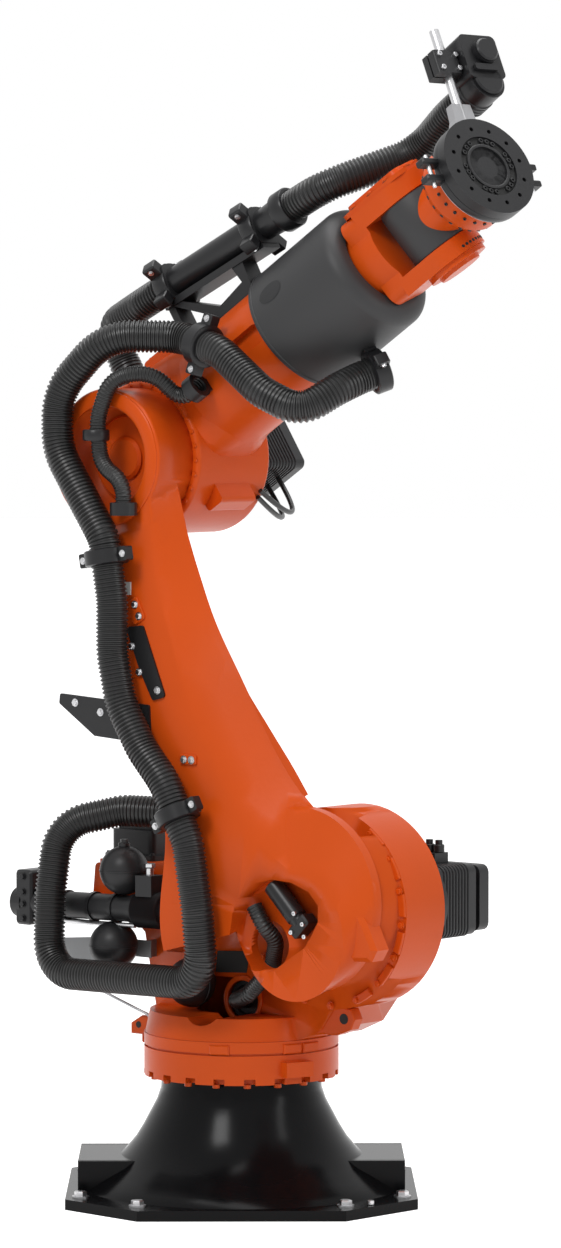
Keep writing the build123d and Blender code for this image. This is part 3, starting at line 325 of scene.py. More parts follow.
def route(points, wanted, step=2.75):
    """Evenly spaced points along straight runs joined by arcs."""
    path = [points[0]]
    for before, corner, after, radius in zip(points, points[1:], points[2:], bend_radii(points, wanted)):
        d0 = (corner - before) / np.linalg.norm(corner - before)
        d1 = (after - corner) / np.linalg.norm(after - corner)
        turn = math.acos(max(-1.0, min(1.0, float(d0 @ d1))))
        back = radius * math.tan(turn / 2)
        normal = d1 - d0 * (d1 @ d0)
        normal /= np.linalg.norm(normal)
        centre = corner - d0 * back + normal * radius
        count = max(2, int(turn * radius / step))
        for k in range(count + 1):
            a = turn * k / count
            path.append(centre - normal * radius * math.cos(a) + d0 * radius * math.sin(a))
    path.append(points[-1])
    path = np.array(path)
    lengths = np.r_[0, np.cumsum(np.linalg.norm(np.diff(path, axis=0), axis=1))]
    count = max(4, int(round(lengths[-1] / step)))
    where = np.linspace(0, lengths[-1], count + 1)
    return np.stack([np.interp(where, lengths, path[:, k]) for k in range(3)], axis=1)


def corrugated(path, radius, depth=4.5, phase=0):
    """Hose with a rib every four points of its path."""
    pattern = (radius, radius, radius - depth, radius - depth)
    radii = [pattern[(i + phase) % 4] for i in range(len(path))]
    shape = Shape()
    shape.tube(path, radii, sides=28)
    return shape


# CAD nodes take the material of their slot
slot_of = {s["node"]: s.get("material_slot") for s in frame["record"]["subparts"]}
for name, node in frame["nodes"].items():
    node.data.materials.clear()
    node.data.materials.append(SLOTS[slot_of[name]])
    node.data.shade_smooth()
    node.data.set_sharp_from_angle(angle=32 * rad)
for name, made in {"balancer_rod": STEEL, "hose_carrier": ZINC, "carrier_rod": STEEL}.items():
    frame["nodes"][name].data.materials[0] = made

# Hoses: the CAD routes, with ribs
hose_w = 349        # the main hose's distance on the near side
hose_radius = 43
thin_radius = 22
thin_rib = 2.2
clamp_half = 17
seat = 0.3          # between pieces that are screwed together
upper_end, lower_end = place(-172, 1716, hose_w), place(73, 1047, hose_w)
link_points = [
    upper_end, place(-152, 1600, hose_w), place(-152, 1460, hose_w), place(-122, 1330, hose_w),
    place(-50, 1215, hose_w), place(30, 1130, hose_w), lower_end,
]
upper_along = unit(link_points[1] - upper_end)
lower_along = unit(lower_end - link_points[-2])
link_points[0] = upper_end + upper_along * seat
link_points[-1] = lower_end - lower_along * seat
link_route = route(link_points, 220)
post = place(-20, 1019, 40)
post_along = unit(post - place(-190, 1019, 60))
shoulder_route = route([
    post + post_along * clamp_half, place(-190, 1019, 60), place(-320, 1022, 120), place(-452, 985, 225),
    place(-452, 800, 262), place(-440, 590, 285), place(-200, 596, 305), place(150, 606, 335),
    place(142, 800, hose_w), lower_end + lower_along * 80, lower_end + lower_along * seat,
], 115)
elbow_end = fore(388, 107, 205)
elbow_foot = unit(ACROSS * (55 - 107) - NEAR * 205)
elbow_down = unit(np.cross(ALONG, elbow_foot))
if elbow_down @ UP > 0:
    elbow_down = -elbow_down
elbow_along = unit(ALONG * 0.68 + elbow_down * 0.73)
elbow_route = route([
    upper_end - upper_along * seat, upper_end - upper_along * 50, place(-345, 2000, hose_w),
    place(-352, 2150, hose_w - 8), place(-215, 2300, 300), elbow_end - elbow_along * 95,
    elbow_end - elbow_along * seat,
], 170)
under_y = 55 - 178 - seat - 14 - 43
under_end = fore(706, under_y)
under_along = unit(ALONG * 0.62 - NEAR * 0.78)
forearm_route = route([
    elbow_end + elbow_along * seat, elbow_end + elbow_along * 70, fore(500, -110, 222),
    fore(560, -212, 190), fore(640, under_y - 12, 106), under_end - under_along * 50,
    under_end + under_along * clamp_half,
], 150)
conduit_tilt = math.atan2(323 - 371, 640 - 253)
conduit_run = math.hypot(323 - 371, 640 - 253)
ALONG_C = ALONG * math.cos(conduit_tilt) + ACROSS * math.sin(conduit_tilt)
UP_C = ACROSS * math.cos(conduit_tilt) - ALONG * math.sin(conduit_tilt)
conduit_start = fore(253, 371, 62)
rear_route = route([
    conduit_start - ALONG_C * seat, conduit_start - ALONG_C * (95 + seat),
    fore(30, 405, 40), fore(-12, 330, 10), fore(-12, 205 + seat, 10),
], 110)
flange_reach = 290
carrier_x = flange_reach - 30 - seat - 13
gland_seat = carrier(carrier_x - 4 - seat, 262, -90)
front_route = route([
    conduit_start + ALONG_C * (494 - 26 + seat), conduit_start + ALONG_C * 604,
    gland_seat - NOSE * 290 - OUT * 20, gland_seat - NOSE * 140, gland_seat,
], 420)
thin_end = fore(300, 30, 160 + 22 + 15)
rim_end = ELBOW + FWD * 162 * math.cos(306 * rad) + UP * 162 * math.sin(306 * rad) + NEAR * (290 + 22 + 15)
thin_route = route([
    thin_end + ALONG * clamp_half, thin_end - ALONG * 60, place(-100, 2205, 250), place(-180, 2190, 322),
    place(-222, 2080, 327), place(-212, 1960, 327), rim_end + UP * 70, rim_end - UP * clamp_half,
], 120, step=2.2)
port = place(60, 532.3, 62)
column_route = route([
    place(260, 812, 257), place(288, 766, 257), place(300, 722, 216), place(240, 640, 160),
    place(150, 562, 150), port + NEAR * 44, port - NEAR * 40,
], 60, step=2.2)
hose = corrugated(link_route, hose_radius).make("main_hose_link", HOSE, "link")
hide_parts("hose_link")
hose = corrugated(forearm_route, hose_radius).make("main_hose_forearm", HOSE, "arm")
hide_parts("hose_forearm")
hose = corrugated(rear_route, hose_radius).make("main_hose_rear", HOSE, "arm")
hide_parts("hose_rear")
hose = corrugated(shoulder_route, hose_radius).make("main_hose_shoulder", HOSE)
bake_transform(hose)
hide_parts("hose_shoulder")
hose = corrugated(elbow_route, hose_radius).make("main_hose_elbow", HOSE)
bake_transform(hose)
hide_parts("hose_elbow")
hose = corrugated(thin_route, thin_radius, thin_rib).make("thin_hose_elbow", HOSE)
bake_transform(hose)
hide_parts("hose_thin")
hose = corrugated(column_route, thin_radius, thin_rib).make("thin_hose_column", HOSE)
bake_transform(hose)
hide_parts("hose_column")
# The front hose crosses three joints, so it is cut at whole ribs into a piece for each
cuts = [0] + [int(len(front_route) * share / 4) * 4 for share in (0.42, 0.74)] + [len(front_route) - 1]
for part, (first, last), pair in zip(
    ("rear", "middle", "front"), zip(cuts, cuts[1:]), (("arm", "wrist"), ("wrist", "hand"), ("hand", "tool"))
):
    stretch = front_route[first:last + 1]
    hose = corrugated(stretch, hose_radius, phase=first).make("main_hose_front_" + part, HOSE)
    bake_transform(hose)
    if part == "rear":
        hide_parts("hose_front")


# Forms that the solids keep plainer: the link arm, the column's front, motor 2's end and the foot's flare
def carve(name, body, cutters, material):
    """Copy of a CAD node with shapes cut out of it, shown in the node's place."""
    node = frame["nodes"][name]
    mesh = node.data.copy()
    mesh.transform(node.matrix_world)
    obj = bpy.data.objects.new(name + "_carved", mesh)
    bpy.context.scene.collection.objects.link(obj)
    tools = []
    for cutter in cutters:
        tool_mesh = bpy.data.meshes.new("cutter")
        tool_mesh.from_pydata([tuple(float(c) / 1000 for c in p) for p in cutter.points], [], cutter.faces)
        tool = bpy.data.objects.new("cutter", tool_mesh)
        bpy.context.scene.collection.objects.link(tool)
        cut = obj.modifiers.new("cut", "BOOLEAN")
        cut.operation, cut.solver, cut.object = "DIFFERENCE", "EXACT", tool
        tools.append(tool)
    bpy.context.view_layer.update()
    result = bpy.data.meshes.new_from_object(obj.evaluated_get(bpy.context.evaluated_depsgraph_get()))
    bpy.data.objects.remove(obj)
    for tool in tools:
        bpy.data.objects.remove(tool)
    carved = bpy.data.objects.new(name + "_form", result)
    bpy.context.scene.collection.objects.link(carved)
    result.materials.clear()
    result.materials.append(material)
    for face in result.polygons:
        face.material_index = 0
    result.shade_smooth()
    result.set_sharp_from_angle(angle=32 * rad)
    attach(carved, body)
    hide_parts(name)
    return carved


def link_point(x, y, w):
    """Point on the link arm: from axis 2 towards axis 3, to its rear, to the near side."""
    return SHOULDER + LINK * x + LINK_REAR * y + NEAR * w


far_cut = Shape()
hub = [(1300 + 187 * math.cos(a), 187 * math.sin(a)) for a in np.linspace(115 * rad, 245 * rad, 15)]
far_cut.prism(
    link_point(0, 0, 100), LINK, LINK_REAR,
    [(250, 330), (1200, 330)] + hub + [(1200, -330), (250, -330)], 106.3,
)
hollow_cut = Shape()
hollow_cut.prism(place(0, 0, 232.5), FWD, UP, [
    (206, 742), (212, 792), (238, 842), (284, 876), (344, 890), (410, 886), (468, 866),
    (500, 832), (500, 790), (474, 744), (430, 708), (372, 688), (306, 686), (246, 702),
], 80)
carve("link_arm", "link", [far_cut, hollow_cut], ORANGE)


def smooth(points, count):
    """Evenly spread points of a smooth curve through a few given ones."""
    points = np.array(points, float)
    t = np.linspace(0, len(points) - 1, count)
    out = []
    for value in t:
        i = min(int(value), len(points) - 2)
        f = value - i
        p0, p1, p2, p3 = (points[max(0, min(len(points) - 1, i + k))] for k in (-1, 0, 1, 2))
        out.append(0.5 * (2 * p1 + (p2 - p0) * f + (2 * p0 - 5 * p1 + 4 * p2 - p3) * f ** 2
                          + (3 * p1 - p0 - 3 * p2 + p3) * f ** 3))
    return out


far_body = Shape()
rings = []
for w, front, rear in (
    (112, [(300, 14), (606, 34), (786, 36), (880, 30)], [(850, 118), (706, 138), (578, 146), (300, 160)]),
    (
        160, [(260, -50), (440, -30), (606, -14), (786, -10), (960, -20)],
        [(930, 138), (706, 190), (578, 200), (260, 215)],
    ),
    (
        207, [(240, -132), (330, -120), (450, -98), (606, -72), (786, -64), (1120, -108)],
        [(1120, 116), (940, 160), (857, 198), (706, 250), (578, 262), (240, 330)],
    ),
):
    outline = smooth(front, 24) + smooth(rear, 24)
    rings.append([link_point(x, y, w) for x, y in outline])
count = len(rings[0])
far_body.add([p for ring in rings for p in ring], [
    (k * count + i, k * count + (i + 1) % count, (k + 1) * count + (i + 1) % count, (k + 1) * count + i)
    for k in range(2) for i in range(count)
] + [tuple(reversed(range(count))), tuple(range(2 * count, 3 * count))])
far_body.make("link_far_side", ORANGE, "link", sharp=24)

front = [(320, 470), (420, 600), (484, 655), (500, 785), (484, 925), (400, 985), (250, 1015), (70, 880)]
ahead = [(900, 1300), (900, 380), (330, 440)]
front_cut = Shape()
front_cut.prism(place(0, 0, -260), FWD, UP, front + [(70, 1300)] + ahead, 229)
arc = [(400 + 265.5 * math.cos(a), 805 + 265.5 * math.sin(a)) for a in np.linspace(-96 * rad, 118 * rad, 40)]
drum_cut = Shape()
drum_cut.prism(place(0, 0, -31.5), FWD, UP, [(320, 470)] + arc + [(250, 1300)] + ahead, 94)
carve("rotating_column", "column", [front_cut, drum_cut], ORANGE)

motor_end = Shape()
motor_end.block(place(400, 795, -430), FWD, np.cross(NEAR, FWD), (178, 178, 40), 0, 22)
motor_end.block(place(400, 795, -452), np.cross(NEAR, FWD), FWD, (150, 150, 12), 4, 16)
motor_end.make("motor_2_end", MOTOR, "column")

flare = Shape()
flare.lathe(np.zeros(3), UP, [
    (326, 214), (291, 216), (258, 227), (224, 245), (190, 263), (157, 283),
    (122, 312), (91, 348), (68, 384), (51, 410), (38, 428), (28, 438),
], 96)
for sign in (1, -1):
    for y in (-150, 150):
        wall = np.array((sign * 352.0, y, 70.0))
        flare.block(wall, np.array((1.0, 0, 0)), np.array((0, 1.0, 0)), (165, 14, 84), 0)
flare.make("foot_flare", GLOSS, "base", sharp=30)

# Foot: anchor bolts
bolts = Shape()
for x, y in ((272, 385), (425, 235)):
    for sx in (1, -1):
        for sy in (1, -1):
            bolts.bolt(np.array((x * sx, y * sy, 28.0)), UP, 17)
bolts.drum(np.array((338.0, -368.0, 28.0)), UP, 9, 12)
bolts.make("anchor_bolts", STEEL, "base")

# Turntable: screws under the toothed rim, and pads on its seam
screws = Shape()
for k in range(18):
    a = (20 * k + 3.7) * rad
    out = np.array((math.sin(a), -math.cos(a), 0.0))
    screws.cap_screw(out * 238 + UP * 326, -UP, 10)
screws.make("turntable_screws", ORANGE, "column")
pads = Shape()
for degrees in (31, 44, -13, 150, 200, 262):
    a = degrees * rad
    out, turn = np.array((math.sin(a), -math.cos(a), 0.0)), np.array((math.cos(a), math.sin(a), 0.0))
    pads.block(out * 261 + UP * 420, turn, UP, (54, 26, 10), 3)
pads.make("turntable_pads", ORANGE, "column")

# Column: grommet and rim of the cable opening, lugs, bearing segments, painted shade of holes and of a window
# opening, bearing screws
grommet = Shape()
grommet.lathe(place(60, 532.3, 40), NEAR, [
    (0, 23), (8, 23), (8, 36), (14, 40), (14, 51), (0, 51), (0, 23),
], 48)
grommet.make("cable_grommet", PLASTIC, "column")
rim = Shape()
rim.lathe(place(60, 532.3, 60), NEAR, [(0, 53), (6, 53), (7.5, 55), (7.5, 63), (6, 66), (0, 66)], 56)
rim.make("opening_rim", ORANGE, "column")
ears = Shape()
ears.prism(place(0, 0, 22), FWD, UP, [
    (300, 462), (372, 462), (420, 480), (434, 508), (420, 536), (300, 541),
], 34, 3)
ears.prism(place(0, 0, 30), FWD, UP, [(-339, 411), (-235, 411), (-235, 463), (-300, 463), (-339, 440)], 34, 3)
for degrees in (56, 34, 12, -10, -32, -54):
    start, end = degrees * rad, (degrees - 13) * rad
    arc = [(math.cos(a), math.sin(a)) for a in np.linspace(start, end, 7)]
    outline = [(400 + 264 * c, 805 + 264 * s) for c, s in arc]
    outline += [(400 + 243 * c, 805 + 243 * s) for c, s in arc[::-1]]
    ears.prism(place(0, 0, 129), FWD, UP, outline, 9, 2)
ears.make("column_lugs", ORANGE, "column")
# Flat dark discs and a flat dark patch above the cable opening stand in for holes and a window: painted shade
dark = Shape()
dark.lathe(place(398, 508, 55), NEAR, [(0, 0), (0, 14), (2, 14), (2, 0)], 24)
for u in (-310, -262):
    dark.lathe(place(u, 437, 63), NEAR, [(0, 0), (0, 9), (2, 9), (2, 0)], 20)
dark.prism(place(0, 0, 61), FWD, UP, [(-37, 600), (70, 606), (78, 640), (70, 664), (-30, 658)], 3, 0)
dark.make("column_hole_shade", RECESS_SHADE, "column")
screws = Shape()
for k in range(18):
    a = (54 - 20 * k) * rad
    if -150 < 54 - 20 * k < 60 or 54 - 20 * k < -290:
        screws.bolt(place(400 + 253 * math.cos(a), 805 + 253 * math.sin(a), 136), NEAR, 8)
screws.make("column_screws", ORANGE, "column")

# Motors: ribs with screws, and plugs
for name, centre, axis, x_dir, size, reach, plug, body in (
    ("motor_2", place(400, 795, -412), NEAR, FWD, 190, 30, UP, "column"),
    ("motor_3", fore(0, 0, -430), NEAR, ALONG, 170, 26, ACROSS, "arm"),
):
    fins = Shape()
    y_dir = np.cross(axis, x_dir)
    for k in range(9):
        fins.block(centre + axis * (60 + k * 13), x_dir, y_dir, (size + 6, size + 6, 5), 1.5, 24)
    for a in (1, -1):
        for b in (1, -1):
            fins.cap_screw(centre + x_dir * a * size * 0.34 + y_dir * b * size * 0.34, -axis, 7)
    fins.make(name + "_fins", MOTOR, body)
    plugs = Shape()
    side_dir = np.cross(axis, plug)
    for a in (-1, 1):
        base = centre + axis * 86 + side_dir * a * 16 + plug * (size / 2 + reach)
        plugs.drum(base, plug, 15, 22, 2, 20)
        plugs.drum(base + plug * 22, plug, 10, 12, 1, 16)
    plugs.make(name + "_plugs", PLASTIC, body)
lid = Shape()
lid.block(place(-365, 988, -45), FWD, np.cross(UP, FWD), (96, 96, 8), 2, 14)
for a in (1, -1):
    for b in (1, -1):
        lid.cap_screw(place(-365 + 50 * a, 984, -45 + 50 * b), UP, 6)
        lid.bolt(place(-365 + 78 * a, 894, -45 + 78 * b), UP, 7)
lid.make("motor_1_lid", MOTOR, "column")

# Balancer: end bracket, ribbed gaiter, sphere seams, pipes and gauge, grey sheet and bent rod
barrel = Shape()
barrel.block(place(-604, 775, 168), FWD, UP, (60, 150, 74), 6, 12)
for v in (718, 757, 790, 832):
    barrel.bolt(place(-604, v, 205), NEAR, 8)
PIVOT = place(-420, 762, 168)
lug = place(400 + 230 * math.cos(195.9 * rad), 835 + 230 * math.sin(195.9 * rad), 168)
ROD = unit(lug - PIVOT)
ROD_UP = np.cross(NEAR, ROD)
profile = []
for k in range(11):
    profile += [(205 + k * 8.4, 43), (205 + k * 8.4 + 4.2, 50)]
barrel.lathe(PIVOT, ROD, profile + [(297, 43), (297, 16)], 40)
for x in (-150, -60, 40, 120, 190):
    barrel.lathe(PIVOT + ROD * x, ROD, [(0, 36), (0, 40), (12, 40), (12, 36)], 40)
barrel.make("gaiter", PLASTIC, "column")
for name, centre, axis in (
    ("upper", PIVOT + ROD * 150 + UP * 102.3, UP), ("lower", PIVOT + ROD * 112 - UP * 102.3, UP),
    ("side", place(-60, 578, 136.3), NEAR),
):
    seam = Shape()
    seam.lathe(centre - axis * 3, axis, [(0, 65.5), (0.8, 67.5), (5.2, 67.5), (6, 65.5)], 64)
    end = axis if name != "lower" else -axis
    seam.drum(centre + end * 63, end, 16, 12, 2, 24)
    seam.lathe(centre + end * 75, end, [(0, 0), (0, 11), (9, 11), (9, 0)], 6)
    seam.make("sphere_seam_" + name, MOTOR, "column")
pipe = Shape()
pipe.tube([PIVOT + ROD * x - ROD_UP * 44 + NEAR * 8 for x in np.linspace(-186, 196, 24)], 6.5, 16, True)
pipe.tube([
    PIVOT + ROD * x - ROD_UP * (43 + 3 * math.sin(x * 0.012)) - NEAR * 8 for x in np.linspace(-180, 80, 30)
], 4.5, 12, True)
gauge = PIVOT + ROD * 250 + ROD_UP * 96 + NEAR * 8
pipe.drum(gauge - ROD_UP * 6, ROD_UP, 11, 24, 1.5, 24)
pipe.drum(gauge + ROD_UP * 18, ROD_UP, 16, 12, 2, 6)
pipe.make("balancer_pipes", STEEL, "column")
sheet = Shape()
sheet.prism(place(0, 0, 96), FWD, UP, [
    (-584, 657), (-430, 670), (-300, 676), (-280, 640), (-300, 624),
    (-428, 600), (-427, 540), (-520, 528), (-584, 570),
], 4, 0)
sheet.block(place(-584, 613, 78), NEAR, UP, (40, 86, 4), 0)
sheet.block(place(-262, 650, 98), FWD, UP, (56, 46, 4), 0)
sheet.block(place(-250, 650, 80), NEAR, UP, (38, 46, 6), 0)
sheet.make("grey_bracket", SHEET, "column")
rod = Shape()
rod.tube([
    place(-470, 560, 104), place(-452, 546, 104), place(-420, 528, 100), place(-360, 505, 92),
    place(-300, 482, 82), place(-270, 470, 74), place(-262, 456, 66), place(-262, 440, 62),
], 4, 12, True)
rod.make("bent_rod", ZINC, "column")

# Link arm: pads, cylinder in the lower hollow, raised lug and dished upper hub, screws, pale tab
pads = Shape()
pads.block(place(-118, 1574, 293), LINK, np.cross(NEAR, LINK), (64, 44, 8), 2, 8)
pads.block(place(-88, 1214, 293), LINK, np.cross(NEAR, LINK), (48, 30, 8), 2, 6)
pads.block(place(64, 1188, 293), FWD, UP, (58, 26, 8), 2, 6)
pads.lathe(ELBOW + NEAR * 289, NEAR, [(0, 140), (5, 142), (7, 146), (7, 176), (4, 180), (0, 181)], 96)
pads.make("link_pads", ORANGE, "link")
cylinder = Shape()
start, end = place(322, 874, 258), place(432, 768, 262)
down = unit(end - start)
cylinder.lathe(start, down, [(0, 0), (0, 18), (6, 27), (118, 27), (122, 23), (140, 23), (140, 0)], 36)
cylinder.block(end - down * 6, down, np.cross(NEAR, down), (34, 66, 44), 4, 6)
cylinder.make("link_cylinder", PLASTIC, "link")
lug = Shape()
lug.prism(place(0, 0, 208), FWD, UP, [
    (572, 690), (650, 694), (668, 724), (640, 780), (606, 836), (592, 800),
], 58, 12)
lug.drum(ELBOW + NEAR * 195, NEAR, 116, 10, 6, 64)
lug.drum(ELBOW + NEAR * 204, NEAR, 58, 16, 8, 48)
lug.make("link_lug", ORANGE, "link")
screws = Shape()
for u, v in ((418, 806), (446, 780), (408, 756), (452, 748)):
    screws.cap_screw(place(u, v, 284), NEAR, 6)
for u, v, w in (
    (-129, 1480, 296), (-104, 1412, 296), (-40, 1366, 296), (-118, 1590, 297), (-104, 1560, 297),
    (-330, 1322, 296), (-120, 1260, 296), (-240, 1300, 296), (52, 1188, 297), (78, 1188, 297),
):
    screws.bolt(place(u, v, w), NEAR, 8)
for u, v in ((-190, 1742), (-190, 1690), (98, 1062), (52, 1026)):
    screws.bolt(place(u, v, 290), NEAR, 8)
screws.make("link_screws", STEEL, "link")
tab = Shape()
tab.block(place(-150, 1632, 292), FWD, UP, (28, 34, 4), 1)
tab.make("white_tab", PALE, "link")

# Forearm: screws of the bearing ring and ledge, painted shade of a dent in the cover, rim of the cover,
# cables of motor 3
screws = Shape()
for k in range(32):
    a = 11.25 * k * rad
    screws.bolt(ELBOW + (ALONG * math.cos(a) + ACROSS * math.sin(a)) * 195.5 + NEAR * 150, NEAR, 6, False)
for x, w in ((104, -50), (104, 50), (196, -50), (196, 50)):
    screws.bolt(fore(x, 242, w), ACROSS, 8)
screws.make("forearm_screws", ORANGE, "arm")
# The dent is not shaped: a darker sheet on the cover paints its shade
dent = Shape()
points, faces = [], []
for i in range(21):
    t = -1 + 2 * i / 20
    half = 8.5 * (1 - t * t) ** 0.5 + 0.01
    for side_angle in (-half, 0, half):
        a = (20 + side_angle) * rad
        points.append(fore(628 + 42 * t, 55 + 178.8 * math.sin(a), 178.8 * math.cos(a)))
for i in range(20):
    for j in range(2):
        a = i * 3 + j
        faces.append((a, a + 3, a + 4, a + 1))
dent.add(points, faces)
dent.make("cover_dent_shade", MOTOR, "arm")
band = Shape()
band.lathe(fore(0, 55), ALONG, [(547, 161), (547, 179), (551, 180), (556, 180), (558, 178)], 96)
band.make("cover_rim", COVER, "arm")
cables = Shape()
for start, middle, end in (
    (fore(-20, -80, -344), fore(10, -290, -330), fore(96, -190, -120)),
    (fore(24, -80, -344), fore(60, -310, -320), fore(120, -184, -110)),
):
    t = np.linspace(0, 1, 26)[:, None]
    cables.tube((1 - t) ** 2 * start + 2 * t * (1 - t) * middle + t ** 2 * end, 7, 14, True)
cables.make("motor_cables", HOSE, "arm")

# Wrist: screws round the flat cover with painted shade round each, painted shade of holes at the far cheek,
# dark sleeve on the hand, nose screws
screws, well_shade = Shape(), Shape()
for x, y in (
    (107, 26), (107, -26), (-107, 26), (-107, -26), (62, 77), (62, -77),
    (-62, 77), (-62, -77), (0, 77), (0, -77),
):
    base = WRIST + TILT * 140.2 + ALONG * (x - 42) + BEND * y
    # Dark ring under each screw: painted shade of the recess it sits in
    well_shade.lathe(base, TILT, [(0, 0), (0, 10.5), (1, 10.5), (1, 0)], 24)
    screws.cap_screw(base, TILT, 7)
well_shade.make("cover_well_shade", RECESS_SHADE, "wrist")
screws.make("cover_screws", ORANGE, "wrist")
cheek_shade = Shape()
# Flat dark discs: painted shade of the holes in the far cheek
for k in range(11):
    a = (-46 + 8 * k) * rad
    out = ALONG * math.cos(a) + BEND * math.sin(a)
    cheek_shade.lathe(WRIST - TILT * 114 + out * 91.6, out, [(0, 0), (0, 4.2), (1, 4.2), (1, 0)], 12)
cheek_shade.make("cheek_hole_shade", RECESS_SHADE, "wrist")
sleeve = Shape()
sleeve.lathe(WRIST - TILT * 78, TILT, [
    (0, 80), (0, 88), (3, 90), (78, 91), (153, 90), (156, 88), (156, 80),
], 72)
sleeve.make("hand_sleeve", COVER, "hand")
screws = Shape()
for k in range(24):
    a = 15 * k * rad
    out = TILT * math.cos(a) + NOSE_SIDE * math.sin(a)
    screws.cap_screw(hand(158) + out * 110, unit(out * 0.55 - NOSE * 0.84), 5.5)
for k in range(24):
    a = (15 * k + 7.5) * rad
    out = TILT * math.cos(a) + NOSE_SIDE * math.sin(a)
    screws.cap_screw(hand(200) + out * 117, out, 4.5)
screws.make("nose_screws", MOTOR, "hand")

# Flange: grouped screws in its inner ring, painted shade of its recess and holes, black clamp ring with ears
# Flat dark ring and discs: painted shade of the flange's recess and holes
ring = Shape()
ring.lathe(hand(flange_reach - 7), NOSE, [(0, 60), (0, 85), (0.6, 85), (0.6, 60)], 72)
for k in range(12):
    a = (30 * k + 15) * rad
    out = TILT * math.cos(a) + NOSE_SIDE * math.sin(a)
    ring.lathe(hand(flange_reach - 22) + out * 108, NOSE, [(0, 0), (0, 5.9), (1, 5.9), (1, 0)], 16)
ring.make("flange_shadow", RECESS_SHADE, "tool")
screws = Shape()
for k in range(6):
    for j in (-1, 0, 1):
        a = (60 * k + 14 * j + 20) * rad
        out = TILT * math.cos(a) + NOSE_SIDE * math.sin(a)
        screws.cap_screw(hand(flange_reach - 6.4) + out * 75, NOSE, 6.5)
screws.lathe(hand(flange_reach - 9), NOSE, [
    (2, 0), (2, 57), (7, 57), (8, 59), (8, 63), (7, 65), (0, 65),
], 72)
screws.make("flange_screws", MOTOR, "tool")
clamp_ring = Shape()
clamp_ring.lathe(hand(carrier_x - 12), NOSE, [
    (-1, 108), (-1, 133), (3, 136.5), (9, 137.5), (16, 137.5), (22, 136.5), (25, 133)], 96)
for sign in (1, -1):
    for k in (1, -1):
        base = carrier(carrier_x, 24 * k, 153 * sign)
        clamp_ring.block(base, SIDEWAYS * sign, np.cross(NOSE, SIDEWAYS * sign), (66, 18, 30), 4, 5)
clamp_ring.make("carrier_ring", PLASTIC, "tool")
screws = Shape()
for sign in (1, -1):
    screws.drum(carrier(carrier_x, -46, 160 * sign), OUT, 6, 92, 1, 16)
screws.make("carrier_screws", STEEL, "tool")

# Carrier's rod: screws of the split block and cap of the rod, caps and gland of the end unit
screws = Shape()
for out in (298, 338):
    screws.cap_screw(carrier(carrier_x + 28, out, 34), NOSE, 7)
    screws.cap_screw(carrier(carrier_x + 28, out, -18), NOSE, 7)
screws.drum(carrier(carrier_x, 423, 0), OUT, 11, 3, 1, 24)
screws.make("grip_screws", STEEL, "tool")
unit_mid = -29.3 - 59
caps = Shape()
caps.lathe(carrier(carrier_x + 62, 338, unit_mid - 8), NOSE, [(0, 0), (0, 33), (5, 33), (9, 29), (9, 0)], 48)
caps.block(carrier(carrier_x + 54, 290, unit_mid + 4), SIDEWAYS, OUT, (74, 18, 12), 3, 5)
caps.lathe(carrier(carrier_x + 40, 262, -90), NOSE, [(0, 45), (6, 45), (10, 40), (10, 0)], 48)
for k in range(4):
    caps.lathe(carrier(carrier_x - 56 + 12 * k, 262, -90), NOSE, [(0, 53), (2, 56), (7, 56), (9, 53)], 48)
caps.make("end_unit_caps", PLASTIC, "tool")

# Thin hose: joint ring over the upper hub
joint = Shape()
joint.lathe(place(-227, 2022, 327), UP, [(0, 22), (0, 33), (4, 36), (26, 36), (30, 33), (30, 22)], 40)
joint.make("thin_joint", PLASTIC, "arm")

# Conduit: end clamps with ears and screws, and its mouth ring
ears, screws = Shape(), Shape()
for x in (10, conduit_run - 46):
    centre = conduit_start + ALONG_C * (x + 18)
    ears.lathe(conduit_start + ALONG_C * x, ALONG_C, [
        (-4, 46), (-4, 54), (0, 57), (36, 57), (40, 54), (40, 46)], 64)
    for turn in (40, 140, 220, 320):
        a = turn * rad
        out = NEAR * math.cos(a) + UP_C * math.sin(a)
        across = np.cross(ALONG_C, out)
        ears.block(centre + out * 66, out, across, (46, 34, 40), 3, 6)
        screws.bolt(centre + out * 74 + across * 17, across, 6)
ears.lathe(conduit_start + ALONG_C * 452, ALONG_C, [
    (0, 50), (0, 54), (4, 56), (40, 56), (44, 53), (44, 46),
], 64)
ears.make("conduit_clamps", PLASTIC, "arm")
screws.make("conduit_screws", STEEL, "arm")

# Clamps of the main hose: ring, ears and screws
for name, centre, along, foot, body in (
    ("upper", upper_end, upper_along, -NEAR, "link"), ("lower", lower_end, lower_along, -NEAR, "link"),
    ("elbow", elbow_end, elbow_along, elbow_foot, "arm"), ("under", under_end, under_along, ACROSS, "arm"),
    ("post", post, post_along, -UP, "column"),
):
    ears, screws = Shape(), Shape()
    across = unit(np.cross(along, foot))
    ears.lathe(centre - along * 21, along, [(0, 44), (0, 54), (3, 58), (39, 58), (42, 54), (42, 44)], 56)
    for sign in (1, -1):
        side = across * sign
        ears.block(centre + side * 66, side, np.cross(foot, side), (34, 38, 30), 3, 5)
        screws.bolt(centre + across * sign * 70 - foot * 15, -foot, 7)
    ears.make("hose_clamp_" + name, PLASTIC, body)
    screws.make("hose_clamp_screws_" + name, STEEL, body)


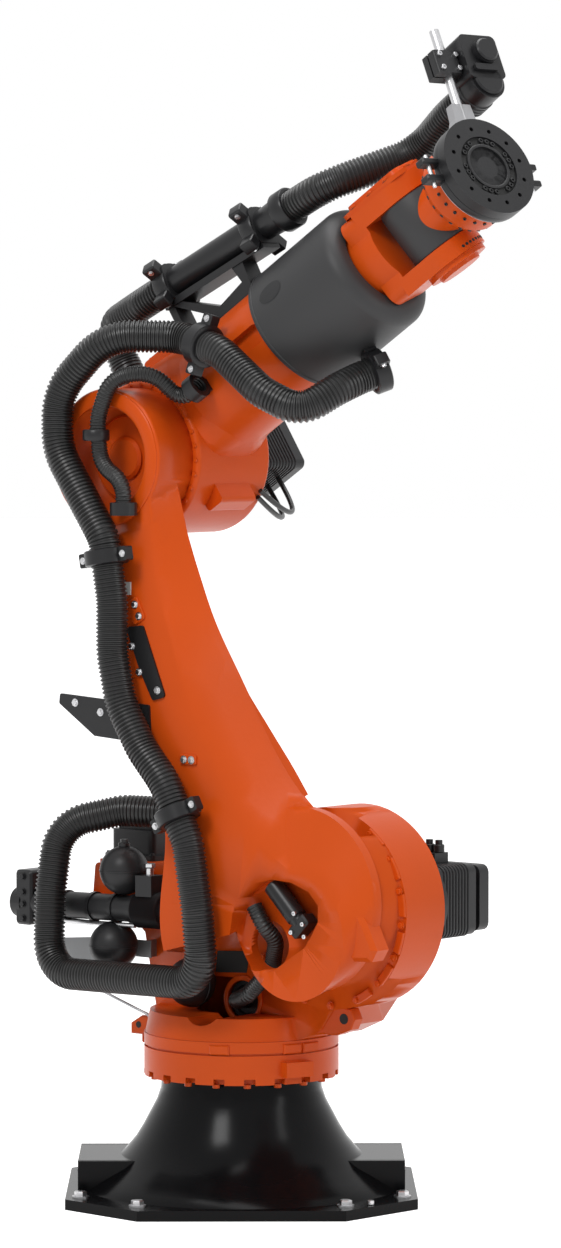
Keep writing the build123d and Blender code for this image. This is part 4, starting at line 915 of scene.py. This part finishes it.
# Stage, light and camera
def background_strength(tree, plain, seen):
    """Strength that is plain for the light on the object, and seen where a ray shows the background."""
    rays = tree.nodes.new("ShaderNodeLightPath")
    result = rays.outputs["Is Camera Ray"]
    for name in ("Is Glossy Ray", "Is Transmission Ray"):
        either = tree.nodes.new("ShaderNodeMath")
        either.operation = "MAXIMUM"
        tree.links.new(result, either.inputs[0])
        tree.links.new(rays.outputs[name], either.inputs[1])
        result = either.outputs[0]
    scale = tree.nodes.new("ShaderNodeMath")
    scale.operation = "MULTIPLY_ADD"
    tree.links.new(result, scale.inputs[0])
    scale.inputs[1].default_value = seen - plain
    scale.inputs[2].default_value = plain
    return scale.outputs[0]


WHITE = finish_of("studio_white", (0.90, 0.90, 0.90), 0.75, specular=0.1, shade=0.0)
glow = WHITE.node_tree.nodes["Principled BSDF"]
glow.inputs["Emission Color"].default_value = (1, 1, 1, 1)
WHITE.node_tree.links.new(background_strength(WHITE.node_tree, 0, 0.78), glow.inputs["Emission Strength"])
floor_half = 60000
floor = Shape()
corners = ((-1, -1), (1, -1), (1, 1), (-1, 1))
floor.add([(x * floor_half, y * floor_half, 0.0) for x, y in corners], [(0, 1, 2, 3)])
studio = floor.make("studio_floor", WHITE)

world = bpy.data.worlds.new("studio")
world.use_nodes = True
sky = world.node_tree.nodes["Background"]
sky.inputs["Color"].default_value = (1, 1, 1, 1)
world.node_tree.links.new(background_strength(world.node_tree, 0.5, 1), sky.inputs["Strength"])
bpy.context.scene.world = world


def area_light(name, position, target, size, power):
    data = bpy.data.lights.new(name, "AREA")
    data.shape = "RECTANGLE"
    data.size, data.size_y = size
    data.energy = power
    obj = bpy.data.objects.new(name, data)
    obj.location = position
    obj.rotation_euler = (Vector(target) - Vector(position)).to_track_quat("-Z", "Y").to_euler()
    bpy.context.scene.collection.objects.link(obj)


area_light("key", (-3.5, -6.0, 7.5), (0, 0, 1.4), (2.4, 2.4), 330)
area_light("right", (5.5, -3.5, 4.0), (0, 0, 1.6), (1.0, 4.5), 70)
area_light("top", (0.5, 0.5, 7.0), (0, 0, 1), (4.0, 4.0), 215)

focal_pixels = 5228.72    # at the photograph's height of 1248 pixels
camera_data = bpy.data.cameras.new("camera")
camera_data.sensor_fit = "AUTO"
camera_data.sensor_width = 36
camera_data.lens = focal_pixels / 1248 * camera_data.sensor_width
camera_data.clip_end = 200
camera = bpy.data.objects.new("camera", camera_data)
camera.location = (0, -13.95, 2.232)
camera.rotation_euler = (math.radians(90 - 2.87625), 0, math.radians(-0.43001))
bpy.context.scene.collection.objects.link(camera)
bpy.context.scene.camera = camera
bpy.context.scene.view_settings.view_transform = "Standard"
